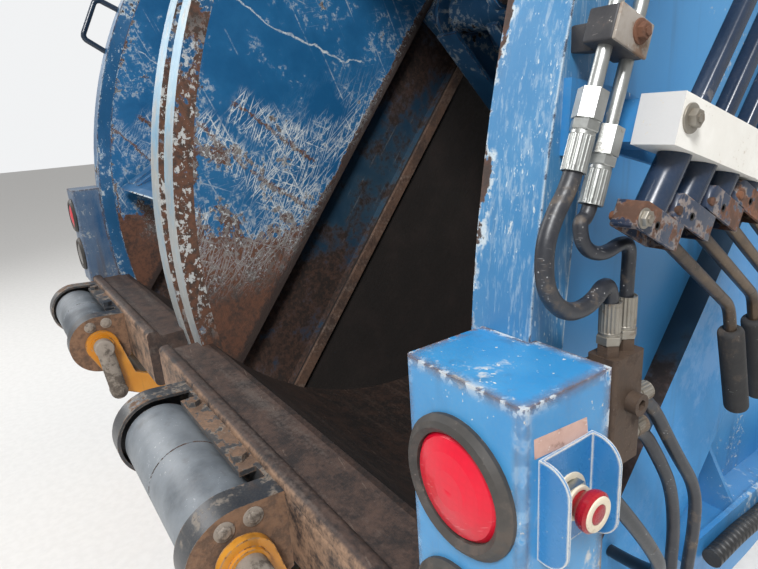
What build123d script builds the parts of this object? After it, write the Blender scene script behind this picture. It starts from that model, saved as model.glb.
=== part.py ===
from build123d import *
import os
from math import acos, asin, atan2, cos, degrees, hypot, pi, radians, sin, sqrt

# Split rear-loader tailgate of a garbage truck: two hoppers side by side, each with its
# own packer (a carrier that slides on a slanted track and a sweep panel hinged to it) and
# its own cart lifter.
# Frame: X to the right (kerb side), Y forward to the truck body, Z up, millimetres.
# The origin is the middle of the seal frame's bottom rail, on the face that meets the body.

# Widths
wall_inner_x = 1037.0
wall_sheet = 8.0
post_width = 76.0
post_depth = 50.0
post_sheet = 6.0
divider_left_x = -228.0
divider_right_x = -20.0
outer_x = wall_inner_x + post_width

# Seal frame at the front
rail = 100.0
frame_depth = 100.0
roof_z = 2100.0
roof_sheet = 5.0
floor_lip_z = rail / 2
skirt = 40.0
foot_z = -238.0

# Rear edge of the walls: an arc low down, then a straight slope up to the roof
edge_centre = (-221.0, 143.0)
edge_radius = 1585.0
edge_turn = 38.0

# Sill across the rear of each hopper
sill_top_z = -88.0
sill_inner_y = -1760.0
sill_depth = 132.0
sill_height = 150.0
sill_wall = 10.0
sill_return = 50.0
sill_ribs = 4
sill_corner = 18.0
sill_rear_y = sill_inner_y - sill_depth
sill_overhang = 40.0
sill_seat = 0.3
sill_outer_x = 1053.0
sill_ridge = 34.0
sill_ridge_up = 16.0

# Slanted tracks
track_angle = 52.0
track_datum = (-1491.0, 77.0)
slot_width = 188.0
slot_depth = 36.0
channel_sheet = 8.0
ridge_width = 30.0
ridge_proud = 10.0
track_u = (cos(radians(track_angle)), sin(radians(track_angle)))
track_v = (sin(radians(track_angle)), -cos(radians(track_angle)))

# Packer: where its hinge is when the carrier is up, its stroke and its sweep
hinge_along = 934.0
carrier_stroke = 465.0
sweep_angle = 104.0
closed_back_angle = -45.4
back_offset = 130.0
tip_clearance = 10.0
hub_radius = 62.0
hinge_pin_radius = 28.0
left_carrier_down = 270.0

# Sweep panel
skin = 12.0
rib = 14.0
flange_width = 83.0
flange_sheet = 12.0
rib_pitch_most = 240.0
ear_radius = 303.3
ear_angle = -174.7
ear_round = 45.0
ear_sheet = 22.0
ear_gap = 76.0

# Carrier
cheek = 16.0
cheek_gap = 5.0
sweep_side_gap = 15.0
shoe_gap = 5.0
shoe_length = 160.0
panel_sheet = 10.0
panel_offset = 75.0
panel_low = 68.0
carrier_length = 1000.0
barrel_pin_along = carrier_length - 100.0
barrel_pin_offset = 0.0
barrel_pin_radius = 22.0
stiffener_depth = 60.0
stiffener_clear = 84.0

# Cylinders
sweep_barrel_radius = 60.0
sweep_rod_radius = 32.0
lift_barrel_radius = 45.0
lift_rod_radius = 24.0
rod_fit = 0.5
gland_length = 60.0

# Lamp boxes at the rear corners
box_outer_x = 1193.0
box_width = 140.0
box_rear_y = -1900.0
box_front_y = -1793.0
box_top_z = 270.0
box_bottom_z = -97.0
box_sheet = 4.0
seat = 0.3
lamp_x = 1122.0
stop_lamp_z = 168.0
lower_lamp_z = 12.0
grommet_radius = 66.0
grommet_hole = 58.0
lens_radius = 50.0

# Cart lifters
lifter_centres = {"left": -765.0, "right": 427.0}
lifter_half = 265.0
lifter_axis = (-1974.0, -174.0)
actuator_radius = 78.0
actuator_half = 200.0
bracket_sheet = 12.0
bracket_rim = 44.0
bracket_round = 92.0
lifter_arm = 16.0
shank_length = 150.0
shank_angle = -70.0
arm_length = 300.0
arm_angle = -24.0


def on_track(along, off):
    """Point (Y, Z) at a distance along the track and off its rear edge, forward and down."""
    return (
        track_datum[0] + along * track_u[0] + off * track_v[0],
        track_datum[1] + along * track_u[1] + off * track_v[1],
    )


def from_point(centre, radius, angle):
    """Point (Y, Z) at a radius and an angle in degrees from forward, about a centre."""
    return (centre[0] + radius * cos(radians(angle)), centre[1] + radius * sin(radians(angle)))


def outline(*pieces):
    """Face in the sketch plane bounded by lines and arcs."""
    return make_face(Curve() + list(pieces))


def polygon(points):
    """Face in the sketch plane with straight sides."""
    return make_face(Polyline(*points, close=True))


def across(face, x_from, x_to):
    """Solid between two X values of a face drawn in (Y, Z)."""
    return extrude(Plane.YZ.offset(x_from) * face, amount=x_to - x_from, dir=(1, 0, 0))


def block(x, y, z):
    """Box between pairs of values in X, Y and Z."""
    centre = ((x[0] + x[1]) / 2, (y[0] + y[1]) / 2, (z[0] + z[1]) / 2)
    return Pos(*centre) * Box(abs(x[1] - x[0]), abs(y[1] - y[0]), abs(z[1] - z[0]))


def bar_x(centre, radius, x_from, x_to):
    """Round bar along X at a point (Y, Z)."""
    return across(Pos(*centre) * Circle(radius), x_from, x_to)


def rod_between(start, end, radius):
    """Round bar between two points in space."""
    start, end = Vector(*start), Vector(*end)
    plane = Plane(origin=start, z_dir=end - start)
    return extrude(plane * Circle(radius), amount=(end - start).length)


def pipe(points, radius, bend):
    """Round tube along straight runs joined by tangent arcs."""
    path = FilletPolyline(*points, radius=bend)
    return sweep(Plane(origin=path @ 0, z_dir=path % 0) * Circle(radius), path=path)


def mirrored(solid):
    """The same piece on the other side of the truck."""
    return mirror(solid, about=Plane.YZ)


def joined(solids):
    """One compound of solids that don't touch."""
    members = []
    for solid in solids:
        members.extend(solid.solids())
    return Compound(children=members)


# Walls and floor

hinge_up = on_track(hinge_along, slot_width / 2)
hinge_down = on_track(hinge_along - carrier_stroke, slot_width / 2)
floor_radius = hypot(hinge_down[0] - sill_inner_y, hinge_down[1] - sill_top_z)
floor_sheet = 10.0
floor_outer = floor_radius + floor_sheet
skirt_radius = floor_outer + skirt
tip_radius = floor_radius - tip_clearance


def rear_edge(inset):
    """Upper turn point, middle, lower end and roof corner of the rear edge, moved inwards."""
    radius = edge_radius - inset
    turn = from_point(edge_centre, radius, 180 - edge_turn)
    low_y = edge_centre[0] - sqrt(radius**2 - (edge_centre[1] - foot_z) ** 2)
    low = (low_y, foot_z)
    middle = from_point(edge_centre, radius, 180)
    slope = 90 - edge_turn
    roof_run = (roof_z - turn[1]) / sin(radians(slope))
    roof = from_point(turn, roof_run, slope)
    return turn, middle, low, roof


def at_height(radius, z):
    """Rear point of an arc of the hopper's floor at a given Z."""
    return (hinge_down[0] - sqrt(radius**2 - (hinge_down[1] - z) ** 2), z)


def lip_end(radius, z):
    """Point where an arc of the floor rises to a given Z."""
    return (hinge_down[0] + sqrt(radius**2 - (hinge_down[1] - z) ** 2), z)


def wall_face(inset):
    """Outline of a hopper wall from its rear edge to the seal frame."""
    turn, middle, low, roof = rear_edge(inset)
    corner = at_height(skirt_radius, foot_z)
    under = lip_end(skirt_radius, -rail / 2)
    return outline(
        Line((-frame_depth, -rail / 2), (-frame_depth, roof_z)),
        Line((-frame_depth, roof_z), roof),
        Line(roof, turn),
        ThreePointArc(turn, middle, low),
        Line(low, corner),
        ThreePointArc(corner, from_point(hinge_down, skirt_radius, -90), under),
        Line(under, (-frame_depth, -rail / 2)),
    )


def track_face(off_from, off_to):
    """Strip parallel to the track between two distances off its rear edge."""
    reach = 3000.0
    return polygon([
        on_track(-reach, off_from), on_track(reach, off_from),
        on_track(reach, off_to), on_track(-reach, off_to),
    ])


def hopper_wall(x_inner, outwards):
    """Wall sheet with the track's slot cut through it; outwards is +1 or -1 along X."""
    sheet = across(wall_face(post_depth), x_inner, x_inner + outwards * wall_sheet)
    slot = across(track_face(0, slot_width), x_inner - outwards, x_inner + outwards * (wall_sheet + 1))
    return sheet - slot


def track_channel(x_inner, outwards):
    """Pressed channel behind the slot, with the ridge that guards its lower edge."""
    back = x_inner + outwards * wall_sheet
    bottom = x_inner + outwards * slot_depth
    outside = bottom + outwards * channel_sheet
    whole = across(wall_face(post_depth), x_inner - outwards * 50, x_inner + outwards * 120)
    body = across(track_face(-channel_sheet, slot_width + channel_sheet), back, outside)
    body -= across(track_face(0, slot_width), back - outwards, bottom)
    ridge = across(track_face(slot_width, slot_width + ridge_width), x_inner - outwards * ridge_proud, x_inner)
    return (body & whole), (ridge & across(floor_space(), x_inner - outwards * 50, x_inner + outwards))


def floor_space():
    """Region above the hopper's floor, kept clear of the floor sheet."""
    corner = at_height(floor_radius, sill_top_z)
    lip = lip_end(floor_radius, floor_lip_z)
    turn, middle, low, roof = rear_edge(post_depth)
    return outline(
        Line((-frame_depth, floor_lip_z), (-frame_depth, roof_z)),
        Line((-frame_depth, roof_z), roof),
        Line(roof, (roof[0] - 1200, turn[1])),
        Line((roof[0] - 1200, turn[1]), corner),
        ThreePointArc(corner, from_point(hinge_down, floor_radius, -90), lip),
        Line(lip, (-frame_depth, floor_lip_z)),
    )


def edge_strip(rear, front):
    """Strip along the rear edge between two depths."""
    turn_r, middle_r, low_r, roof_r = rear_edge(rear)
    turn_f, middle_f, low_f, roof_f = rear_edge(front)
    return outline(
        ThreePointArc(low_r, middle_r, turn_r), Line(turn_r, roof_r), Line(roof_r, roof_f),
        Line(roof_f, turn_f), ThreePointArc(turn_f, middle_f, low_f), Line(low_f, low_r),
    )


def rear_post(x_from, x_to, set_back=0.0):
    """Channel that caps the rear edge of a wall, or a plain strip when it is set back."""
    shell = across(edge_strip(set_back, post_depth), x_from, x_to)
    if set_back:
        return shell
    return shell - across(edge_strip(post_sheet, post_depth), x_from + post_sheet, x_to - post_sheet)


def hopper_floor(x_from, x_to):
    """Curved floor from the sill to the lip at the seal frame."""
    inner_low = at_height(floor_radius, sill_top_z)
    outer_low = at_height(floor_outer, sill_top_z)
    inner_lip = lip_end(floor_radius, floor_lip_z)
    outer_lip = lip_end(floor_outer, floor_lip_z - floor_sheet)
    return across(outline(
        ThreePointArc(inner_low, from_point(hinge_down, floor_radius, -90), inner_lip),
        Line(inner_lip, (-frame_depth, floor_lip_z)),
        Line((-frame_depth, floor_lip_z), (-frame_depth, floor_lip_z - floor_sheet)),
        Line((-frame_depth, floor_lip_z - floor_sheet), outer_lip),
        ThreePointArc(outer_lip, from_point(hinge_down, floor_outer, -90), outer_low),
        Line(outer_low, inner_low),
    ), x_from, x_to)


def floor_rib(x_middle):
    """Rib under the floor, deeper at its ends where it meets the sill and the rail."""
    depth = skirt
    thick = 8.0
    angles = (-138.0, -95.0, -40.0)
    inner = [from_point(hinge_down, floor_outer, angle) for angle in angles]
    outer = [from_point(hinge_down, floor_outer + depth, angle) for angle in angles]
    return across(outline(
        ThreePointArc(*inner), Line(inner[2], outer[2]),
        ThreePointArc(*reversed(outer)), Line(outer[0], inner[0]),
    ), x_middle - thick / 2, x_middle + thick / 2)


def sill_beam(x_from, x_to):
    """Folded sheet across the rear of a hopper: ledge, rear face and bottom return."""
    outer_rear, outer_foot = sill_rear_y, sill_top_z - sill_height
    filled = polygon([
        (sill_inner_y, sill_top_z), (outer_rear, sill_top_z),
        (outer_rear, outer_foot), (outer_rear + sill_return, outer_foot),
    ])
    filled = fillet(filled.vertices().sort_by(Axis.X)[:2], radius=sill_corner)
    ridge_face = Pos(outer_rear + sill_ridge / 2, sill_top_z) * Rectangle(sill_ridge, 2 * sill_ridge_up)
    ridge_face = fillet(ridge_face.vertices(), radius=sill_ridge_up - 3)
    section = polygon([
        (sill_inner_y, sill_top_z), (outer_rear, sill_top_z), (outer_rear, outer_foot),
        (outer_rear + sill_return, outer_foot), (outer_rear + sill_return, outer_foot + sill_wall),
        (outer_rear + sill_wall, outer_foot + sill_wall), (outer_rear + sill_wall, sill_top_z - sill_wall),
        (sill_inner_y, sill_top_z - sill_wall),
    ])
    section = fillet(section.vertices().sort_by(Axis.X)[:2], radius=sill_corner)
    body = across(section, x_from, x_to) + across(ridge_face, x_from, x_to)
    for end, inwards in ((x_from, sill_wall), (x_to, -sill_wall)):
        body += across(filled, min(end, end + inwards), max(end, end + inwards))
    for rim in range(sill_ribs):
        x = x_from + 60 + rim * (x_to - x_from - 120) / (sill_ribs - 1)
        body += block(
            (x - 5, x + 5), (outer_rear + sill_wall, sill_inner_y - 8),
            (outer_foot + sill_wall, sill_top_z - sill_wall),
        )
    return body - bar_x(hinge_down, floor_outer, x_from - 1, x_to + 1)


def clear_of_posts(solid):
    """The same solid cut back to seat against the curved rear of every post."""
    roll = bar_x(edge_centre, edge_radius + sill_seat, -outer_x, outer_x)
    spans = [(-outer_x, -wall_inner_x), *divider_post_spans, (wall_inner_x, outer_x)]
    for x_low, x_high in spans:
        solid -= roll & block((x_low, x_high), (-2000, 0), (-400, 400))
    return solid


hoppers = {
    "left": (-wall_inner_x, divider_left_x),
    "right": (divider_right_x, wall_inner_x),
}
sills = {
    "left": (-sill_outer_x, divider_left_x + sill_overhang),
    "right": (divider_right_x - sill_overhang, sill_outer_x),
}
divider_post_spans = [
    (divider_left_x, divider_left_x + post_width),
    (divider_right_x - post_width, divider_right_x),
]

nodes = {}
nodes["side_wall_left"] = hopper_wall(-wall_inner_x, -1)
nodes["side_wall_right"] = hopper_wall(wall_inner_x, 1)
nodes["divider_wall_left"] = hopper_wall(divider_left_x, 1)
nodes["divider_wall_right"] = hopper_wall(divider_right_x, -1)
nodes["rear_post_left"] = rear_post(-outer_x, -wall_inner_x)
nodes["rear_post_right"] = rear_post(wall_inner_x, outer_x)
web = rear_post(divider_post_spans[0][1] - post_sheet, divider_post_spans[1][0] + post_sheet, post_depth - post_sheet)
nodes["divider_posts"] = rear_post(*divider_post_spans[0]) + rear_post(*divider_post_spans[1]) + web

ridges = []
for side, (x_low, x_high) in hoppers.items():
    low_channel, low_ridge = track_channel(x_low, -1)
    high_channel, high_ridge = track_channel(x_high, 1)
    nodes[f"track_channels_{side}"] = joined([low_channel, high_channel])
    ridges += [low_ridge, high_ridge]
    nodes[f"hopper_floor_{side}"] = hopper_floor(x_low, x_high)
    nodes[f"sill_{side}"] = clear_of_posts(sill_beam(*sills[side]))

nodes["track_ridges"] = joined(ridges)

rib_places = []
for x_low, x_high in hoppers.values():
    count = 4
    for number in range(count):
        rib_places.append(x_low + (number + 0.5) * (x_high - x_low) / count)
nodes["floor_ribs"] = joined([floor_rib(x) for x in rib_places])

# Seal frame, roof and hood

columns = [(-outer_x, -wall_inner_x), (divider_left_x, divider_right_x), (wall_inner_x, outer_x)]
frame = block((-outer_x, outer_x), (-frame_depth, 0), (-rail / 2, rail / 2))
frame += block((-outer_x, outer_x), (-frame_depth, 0), (roof_z - rail, roof_z))
for x_low, x_high in columns:
    frame += block((x_low, x_high), (-frame_depth, 0), (0, roof_z - rail / 2))
nodes["seal_frame"] = frame

roof_corner = rear_edge(0)[3]
turn_corner = rear_edge(0)[0]
nodes["roof_panel"] = block((-outer_x, outer_x), (roof_corner[0], 0), (roof_z, roof_z + roof_sheet))

hood_rib = 40.0
hood_rib_proud = 22.0
hood_slope = 90 - edge_turn
hood_normal = hood_slope + 90


def hood_sheet(x_from, x_to):
    """Sloping sheet that closes the rear above one hopper, with two pressed ribs."""
    inner_turn, inner_roof = rear_edge(roof_sheet)[0], rear_edge(roof_sheet)[3]
    lip = 40.0
    low_inner = from_point(turn_corner, lip, hood_normal + 180)
    sheet = across(polygon([turn_corner, roof_corner, inner_roof, inner_turn]), x_from, x_to)
    edge = from_point(turn_corner, roof_sheet, hood_slope)
    sheet += across(polygon([
        turn_corner, edge, from_point(edge, lip, hood_normal + 180), low_inner,
    ]), x_from, x_to)
    length = hypot(roof_corner[0] - turn_corner[0], roof_corner[1] - turn_corner[1])
    for share in (0.35, 0.7):
        start = from_point(turn_corner, share * length, hood_slope)
        end = from_point(start, hood_rib, hood_slope)
        crown_low = from_point(from_point(start, 8, hood_slope), hood_rib_proud, hood_normal)
        crown_high = from_point(from_point(end, -8, hood_slope), hood_rib_proud, hood_normal)
        sheet += across(polygon([start, end, crown_high, crown_low]), x_from + 30, x_to - 30)
    return sheet


nodes["hood_panel"] = joined([hood_sheet(*span) for span in hoppers.values()])

# Outside of the walls: lower flange, gussets and uprights
flange_z = -200.0
flange_from_y = -1440.0
skirt_depth = 74.0
skirt_sheet = 8.0
upright_ys = (-620.0, -330.0)


def side_ribs(side):
    """Angle along the foot of the side, gussets and two uprights, on the right side."""
    wall_x = wall_inner_x + wall_sheet
    lip = block((wall_x, wall_x + skirt_depth), (flange_from_y, -760), (flange_z, flange_z + skirt_sheet))
    lip += block(
        (wall_x + skirt_depth - skirt_sheet, wall_x + skirt_depth),
        (flange_from_y, -760), (flange_z, flange_z + 50),
    )
    gussets = []
    for y in (-1290.0, -1000.0):
        gussets.append(polygon([
            (wall_x, flange_z + skirt_sheet),
            (wall_x + skirt_depth - skirt_sheet, flange_z + skirt_sheet),
            (wall_x, flange_z + 130),
        ]))
        lip += extrude(
            Plane.XZ.offset(-y) * gussets[-1], amount=skirt_sheet, dir=(0, 1, 0),
        )
    pieces = [lip]
    channel_edge = slot_width + channel_sheet
    for y in upright_ys:
        foot = lip_end(floor_outer, floor_lip_z)[1] + 60
        along = (y + 50 - track_datum[0] - channel_edge * track_v[0]) / track_u[0]
        head = on_track(along, channel_edge)[1] - 90
        pieces.append(block((wall_x, wall_x + 46), (y, y + 50), (foot, head)))
    solids = pieces if side == "right" else [mirrored(piece) for piece in pieces]
    return solids


nodes["side_ribs"] = joined(side_ribs("left") + side_ribs("right"))

# Hinge ears on the roof, lift-cylinder lugs and lock lugs
ear_bore = 25.5
ear_width = 60.0
ear_x = 880.0
ear_rise = 70.0
ear_foot = 70.0
ear_outer = 55.0
ear_centre = (-70.0, roof_z + roof_sheet + ear_rise)
lift_bore = 20.5
lift_width = 40.0
lift_boss = 48.0
lift_plate = 12.0
lift_plate_half = 170.0
lift_plate_rear = 45.0
lift_plate_edge = 20.0
lift_centre = (-lift_plate_edge - 50.0, 1250.0)
lock_bore = 20.5
lock_width = 30.0
lock_x = 700.0
lock_foot = 45.0
lock_outer = 40.0
lock_centre = (-frame_depth / 2, -rail / 2 - lock_foot)


def lug(centre, base_from, base_to, radius, bore, x_from, x_to):
    """Rounded lug with a bore along X, its foot a straight edge."""
    body = across(Pos(*centre) * Circle(radius), x_from, x_to)
    width = (base_to[0] - base_from[0], base_to[1] - base_from[1])
    size = hypot(*width)
    side_step = (width[0] / size * radius, width[1] / size * radius)
    body += across(polygon([
        base_from, base_to,
        (centre[0] + side_step[0], centre[1] + side_step[1]),
        (centre[0] - side_step[0], centre[1] - side_step[1]),
    ]), x_from, x_to)
    return body - bar_x(centre, bore, x_from - 1, x_to + 1)


ear_base = roof_z + roof_sheet
ears = []
for x in (-ear_x, ear_x):
    ears.append(lug(
        ear_centre, (ear_centre[0] - ear_foot, ear_base), (ear_centre[0] + ear_foot, ear_base),
        ear_outer, ear_bore, x - ear_width / 2, x + ear_width / 2,
    ))
nodes["hinge_ears"] = joined(ears)

lift_lug_right = across(Pos(*lift_centre) * Circle(lift_boss), outer_x, outer_x + lift_width)
lift_lug_right += block(
    (outer_x, outer_x + lift_plate), (lift_centre[0] - lift_plate_edge, lift_centre[0] + lift_plate_rear + lift_plate_edge),
    (lift_centre[1] - lift_plate_half, lift_centre[1] + lift_plate_half),
)
lift_lug_right -= bar_x(lift_centre, lift_bore, outer_x, outer_x + lift_width + 1)
nodes["lift_lugs"] = joined([lift_lug_right, mirrored(lift_lug_right)])

locks = []
for x in (-lock_x, lock_x):
    locks.append(lug(
        lock_centre, (lock_centre[0] - lock_foot, -rail / 2), (lock_centre[0] + lock_foot, -rail / 2),
        lock_outer, lock_bore, x - lock_width / 2, x + lock_width / 2,
    ))
nodes["lock_lugs"] = joined(locks)

# Packers

closed_tip_run = sqrt(tip_radius**2 - back_offset**2)
back_dir = closed_back_angle
back_normal = closed_back_angle - 90


def sweep_section(hinge, turn):
    """Points of the sweep panel's end, from its hinge, with the panel turned open."""
    def local(run, back):
        point = from_point((0, 0), run, back_dir - turn)
        return from_point((hinge[0] + point[0], hinge[1] + point[1]), back, back_normal - turn)
    return local


def rib_positions(x_from, x_to):
    """Ribs from end to end of a sweep panel, with two close ones beside the rod's ears."""
    middle = (x_from + x_to) / 2
    half_gap = ear_gap / 2 + ear_sheet / 2
    places = [middle - half_gap, middle + half_gap]
    for direction, limit in ((-1, x_from + rib / 2), (1, x_to - rib / 2)):
        start = middle + direction * half_gap
        span = abs(limit - start)
        count = int(span // rib_pitch_most) + 1
        for number in range(1, count + 1):
            places.append(start + direction * span * number / count)
    return sorted(places)


def sweep_panel(hinge, turn, x_from, x_to):
    """Front skin on triangular ribs, with a flanged back edge, a hub tube and two ears."""
    local = sweep_section(hinge, turn)
    tip = local(closed_tip_run, back_offset)
    front_start = local(0, -hub_radius)
    run = hypot(tip[0] - front_start[0], tip[1] - front_start[1])
    slope = atan2(back_offset + hub_radius, closed_tip_run)
    inward = (sin(slope) * skin, cos(slope) * skin)
    skin_face = polygon([
        front_start, tip, local(closed_tip_run - 30, back_offset),
        local(-inward[0], -hub_radius + inward[1]),
    ])
    body = across(skin_face, x_from, x_to)
    rib_face = polygon([
        local(0, -hub_radius + skin), local(closed_tip_run - 60, back_offset - flange_sheet),
        local(60, back_offset - flange_sheet), local(-20, 50),
    ])
    ear_centre_point = from_point(hinge, ear_radius, ear_angle - turn)
    ear_face = make_face(Polyline(
        local(-10, 10), local(260, back_offset - flange_sheet - 1),
        from_point(ear_centre_point, ear_round, back_dir - turn),
        from_point(ear_centre_point, ear_round, back_dir - turn + 200),
        close=True,
    )) + Pos(*ear_centre_point) * Circle(ear_round)
    places = rib_positions(x_from, x_to)
    middle = (x_from + x_to) / 2
    for x in places:
        near_ear = abs(x - middle) < ear_gap
        thick = ear_sheet if near_ear else rib
        body += across(rib_face, x - thick / 2, x + thick / 2)
        if near_ear:
            body += across(ear_face, x - thick / 2, x + thick / 2)
    flange_face = polygon([
        local(-30, back_offset - flange_sheet), local(closed_tip_run - 40, back_offset - flange_sheet),
        local(closed_tip_run - 40, back_offset), local(-30, back_offset),
    ])
    body += across(flange_face, x_from, x_from + flange_width)
    body += across(flange_face, x_to - flange_width, x_to)
    for x in places[1:-1]:
        if abs(x - middle) >= ear_gap:
            body += across(flange_face, x - flange_width / 4, x + flange_width / 4)
    hub_cut = bar_x(hinge, hinge_pin_radius + 12, middle - ear_gap / 2, middle + ear_gap / 2)
    body += bar_x(hinge, hub_radius, x_from, x_to) - hub_cut
    body -= bar_x(hinge, hinge_pin_radius + rod_fit, x_from - 1, x_to + 1)
    for x, outwards in ((middle - ear_gap / 2 - ear_sheet, -1), (middle + ear_gap / 2 + ear_sheet, 1)):
        body += bar_x(ear_centre_point, 26, x, x + outwards * 10)
    return body


def carrier_frame(hinge, x_low, x_high):
    """Cheeks with shoes in the tracks, the packer's upper panel and its cross members."""
    origin_along = (
        (hinge[0] - track_datum[0]) * track_u[0] + (hinge[1] - track_datum[1]) * track_u[1]
    )
    centre_off = slot_width / 2

    def local(along, off):
        return on_track(origin_along + along, centre_off + off)

    def strip(along_from, along_to, off_from, off_to):
        return polygon([
            local(along_from, off_from), local(along_to, off_from),
            local(along_to, off_to), local(along_from, off_to),
        ])

    half_shoe = slot_width / 2 - shoe_gap
    body = None
    for x_wall, inwards in ((x_low, 1), (x_high, -1)):
        outer = x_wall + inwards * cheek_gap
        inner = outer + inwards * cheek
        cheek_face = strip(0, carrier_length, -half_shoe, half_shoe) + Pos(*local(0, 0)) * Circle(half_shoe)
        plate = across(cheek_face, min(outer, inner), max(outer, inner))
        far = x_wall - inwards * (slot_depth - shoe_gap)
        for along in (0, carrier_length - shoe_length / 2 - 40):
            shoe_face = strip(along - shoe_length / 2, along + shoe_length / 2, -half_shoe, half_shoe)
            plate += across(shoe_face, min(outer, far), max(outer, far))
        body = plate if body is None else body + plate
    inner_low = x_low + cheek_gap + cheek
    inner_high = x_high - cheek_gap - cheek
    middle = (x_low + x_high) / 2
    body += across(strip(panel_low, carrier_length, panel_offset, panel_offset + panel_sheet), inner_low, inner_high)
    for share in (0.335, 0.56, 0.785):
        along = share * carrier_length
        for x_from, x_to in ((inner_low, middle - stiffener_clear), (middle + stiffener_clear, inner_high)):
            body += across(
                strip(along, along + 12, panel_offset - stiffener_depth, panel_offset), x_from, x_to,
            )
    pin_point = local(barrel_pin_along, barrel_pin_offset)
    tube_low, tube_high = barrel_pin_along + 54, barrel_pin_along + 100
    body += across(strip(tube_low, tube_high, 0, panel_offset), inner_low, inner_high)
    for outwards in (-1, 1):
        inside = middle + outwards * ear_gap / 2
        outside = inside + outwards * ear_sheet
        lug_face = strip(barrel_pin_along, tube_high, -40, 40) + Pos(*pin_point) * Circle(40)
        body += across(lug_face, min(inside, outside), max(inside, outside))
    body += bar_x(pin_point, barrel_pin_radius, middle - ear_gap / 2 - 1, middle + ear_gap / 2 + 1)
    pin_out = 30.0
    for x_from, x_to in ((inner_low - 1, inner_low + pin_out), (inner_high - pin_out, inner_high + 1)):
        body += bar_x(local(0, 0), hinge_pin_radius, x_from, x_to)
    return body, local, inner_low, inner_high, middle, pin_point


lift_pin_along = 430.0
lift_pin_offset = -60.0
lift_side_gap = 65.0
gland_along = 490.0
anchor_along = 1130.0
lift_rod_length = 630.0


def lift_cylinders(hinge, inner_low, inner_high):
    """Rods of the two cylinders that move a carrier, and their barrels on the tailgate."""
    rods, barrels = [], []

    def fixed(along):
        return on_track(hinge_along + along, slot_width / 2 + lift_pin_offset)

    def moving(along):
        start = (
            (hinge[0] - track_datum[0]) * track_u[0] + (hinge[1] - track_datum[1]) * track_u[1]
        )
        return on_track(start + along, slot_width / 2 + lift_pin_offset)

    eye = moving(lift_pin_along)
    rod_end = moving(lift_pin_along + lift_rod_length)
    gland, gland_top = fixed(gland_along), fixed(gland_along + gland_length)
    bore_end = fixed(lift_pin_along + lift_rod_length + 8)
    top = fixed(anchor_along)
    for x, cheek_x in ((inner_low + lift_side_gap, inner_low), (inner_high - lift_side_gap, inner_high)):
        rod = rod_between((x, *eye), (x, *rod_end), lift_rod_radius)
        rod += bar_x(eye, 34, x - 22, x + 22)
        rod += bar_x(eye, 18, min(x, cheek_x), max(x, cheek_x))
        rods.append(rod)
        barrel = rod_between((x, *gland), (x, *fixed(anchor_along - 44)), lift_barrel_radius)
        barrel += rod_between((x, *gland), (x, *gland_top), lift_barrel_radius + 5)
        barrel -= rod_between((x, *local_step(gland, -1)), (x, *bore_end), lift_rod_radius + rod_fit)
        neck = on_track(hinge_along + anchor_along - 50, slot_width / 2 + lift_pin_offset)
        barrel += across(polygon([
            (neck[0] - 28 * track_v[0], neck[1] - 28 * track_v[1]), (neck[0] + 28 * track_v[0], neck[1] + 28 * track_v[1]),
            (top[0] + 28 * track_v[0], top[1] + 28 * track_v[1]), (top[0] - 28 * track_v[0], top[1] - 28 * track_v[1]),
        ]), x - 26, x + 26)
        barrel += bar_x(top, 28, x - 26, x + 26)
        barrels.append(barrel)
    return rods, barrels


def local_step(point, distance):
    """Point moved along the track's direction."""
    return (point[0] + distance * track_u[0], point[1] + distance * track_u[1])


def sweep_cylinder(hinge, turn, middle, pin_point):
    """Barrel and rod between the carrier's lugs and the sweep panel's ears."""
    eye = from_point(hinge, ear_radius, ear_angle - turn)
    length = hypot(eye[0] - pin_point[0], eye[1] - pin_point[1])
    angle = degrees(atan2(eye[1] - pin_point[1], eye[0] - pin_point[0]))
    closed_eye = from_point(hinge, ear_radius, ear_angle)
    open_eye = from_point(hinge, ear_radius, ear_angle - sweep_angle)
    longest = hypot(closed_eye[0] - pin_point[0], closed_eye[1] - pin_point[1])
    shortest = hypot(open_eye[0] - pin_point[0], open_eye[1] - pin_point[1])
    barrel_end = shortest - 52
    rod_length = shortest - 80
    half_eye = ear_gap / 2 - 5
    gland_from = from_point(pin_point, barrel_end - gland_length, angle)
    gland_to = from_point(pin_point, barrel_end, angle)
    barrel = rod_between((middle, *from_point(pin_point, 68, angle)), (middle, *gland_to), sweep_barrel_radius)
    barrel += rod_between((middle, *gland_from), (middle, *gland_to), sweep_barrel_radius + 8)
    neck = across(Pos(*pin_point) * Rot(0, 0, angle) * Pos(40, 0) * Rectangle(80, 72), middle - half_eye, middle + half_eye)
    barrel += neck + bar_x(pin_point, 44, middle - half_eye, middle + half_eye)
    barrel -= bar_x(pin_point, barrel_pin_radius + rod_fit, middle - 100, middle + 100)
    bore_from = from_point(pin_point, 76, angle)
    bore_to = from_point(pin_point, barrel_end + 1, angle)
    barrel -= rod_between((middle, *bore_from), (middle, *bore_to), sweep_rod_radius + rod_fit)
    rod_start = from_point(pin_point, length - rod_length, angle)
    rod = rod_between((middle, *rod_start), (middle, *eye), sweep_rod_radius)
    rod += bar_x(eye, 40, middle - half_eye, middle + half_eye)
    return barrel, rod, length, angle, longest, shortest


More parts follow.
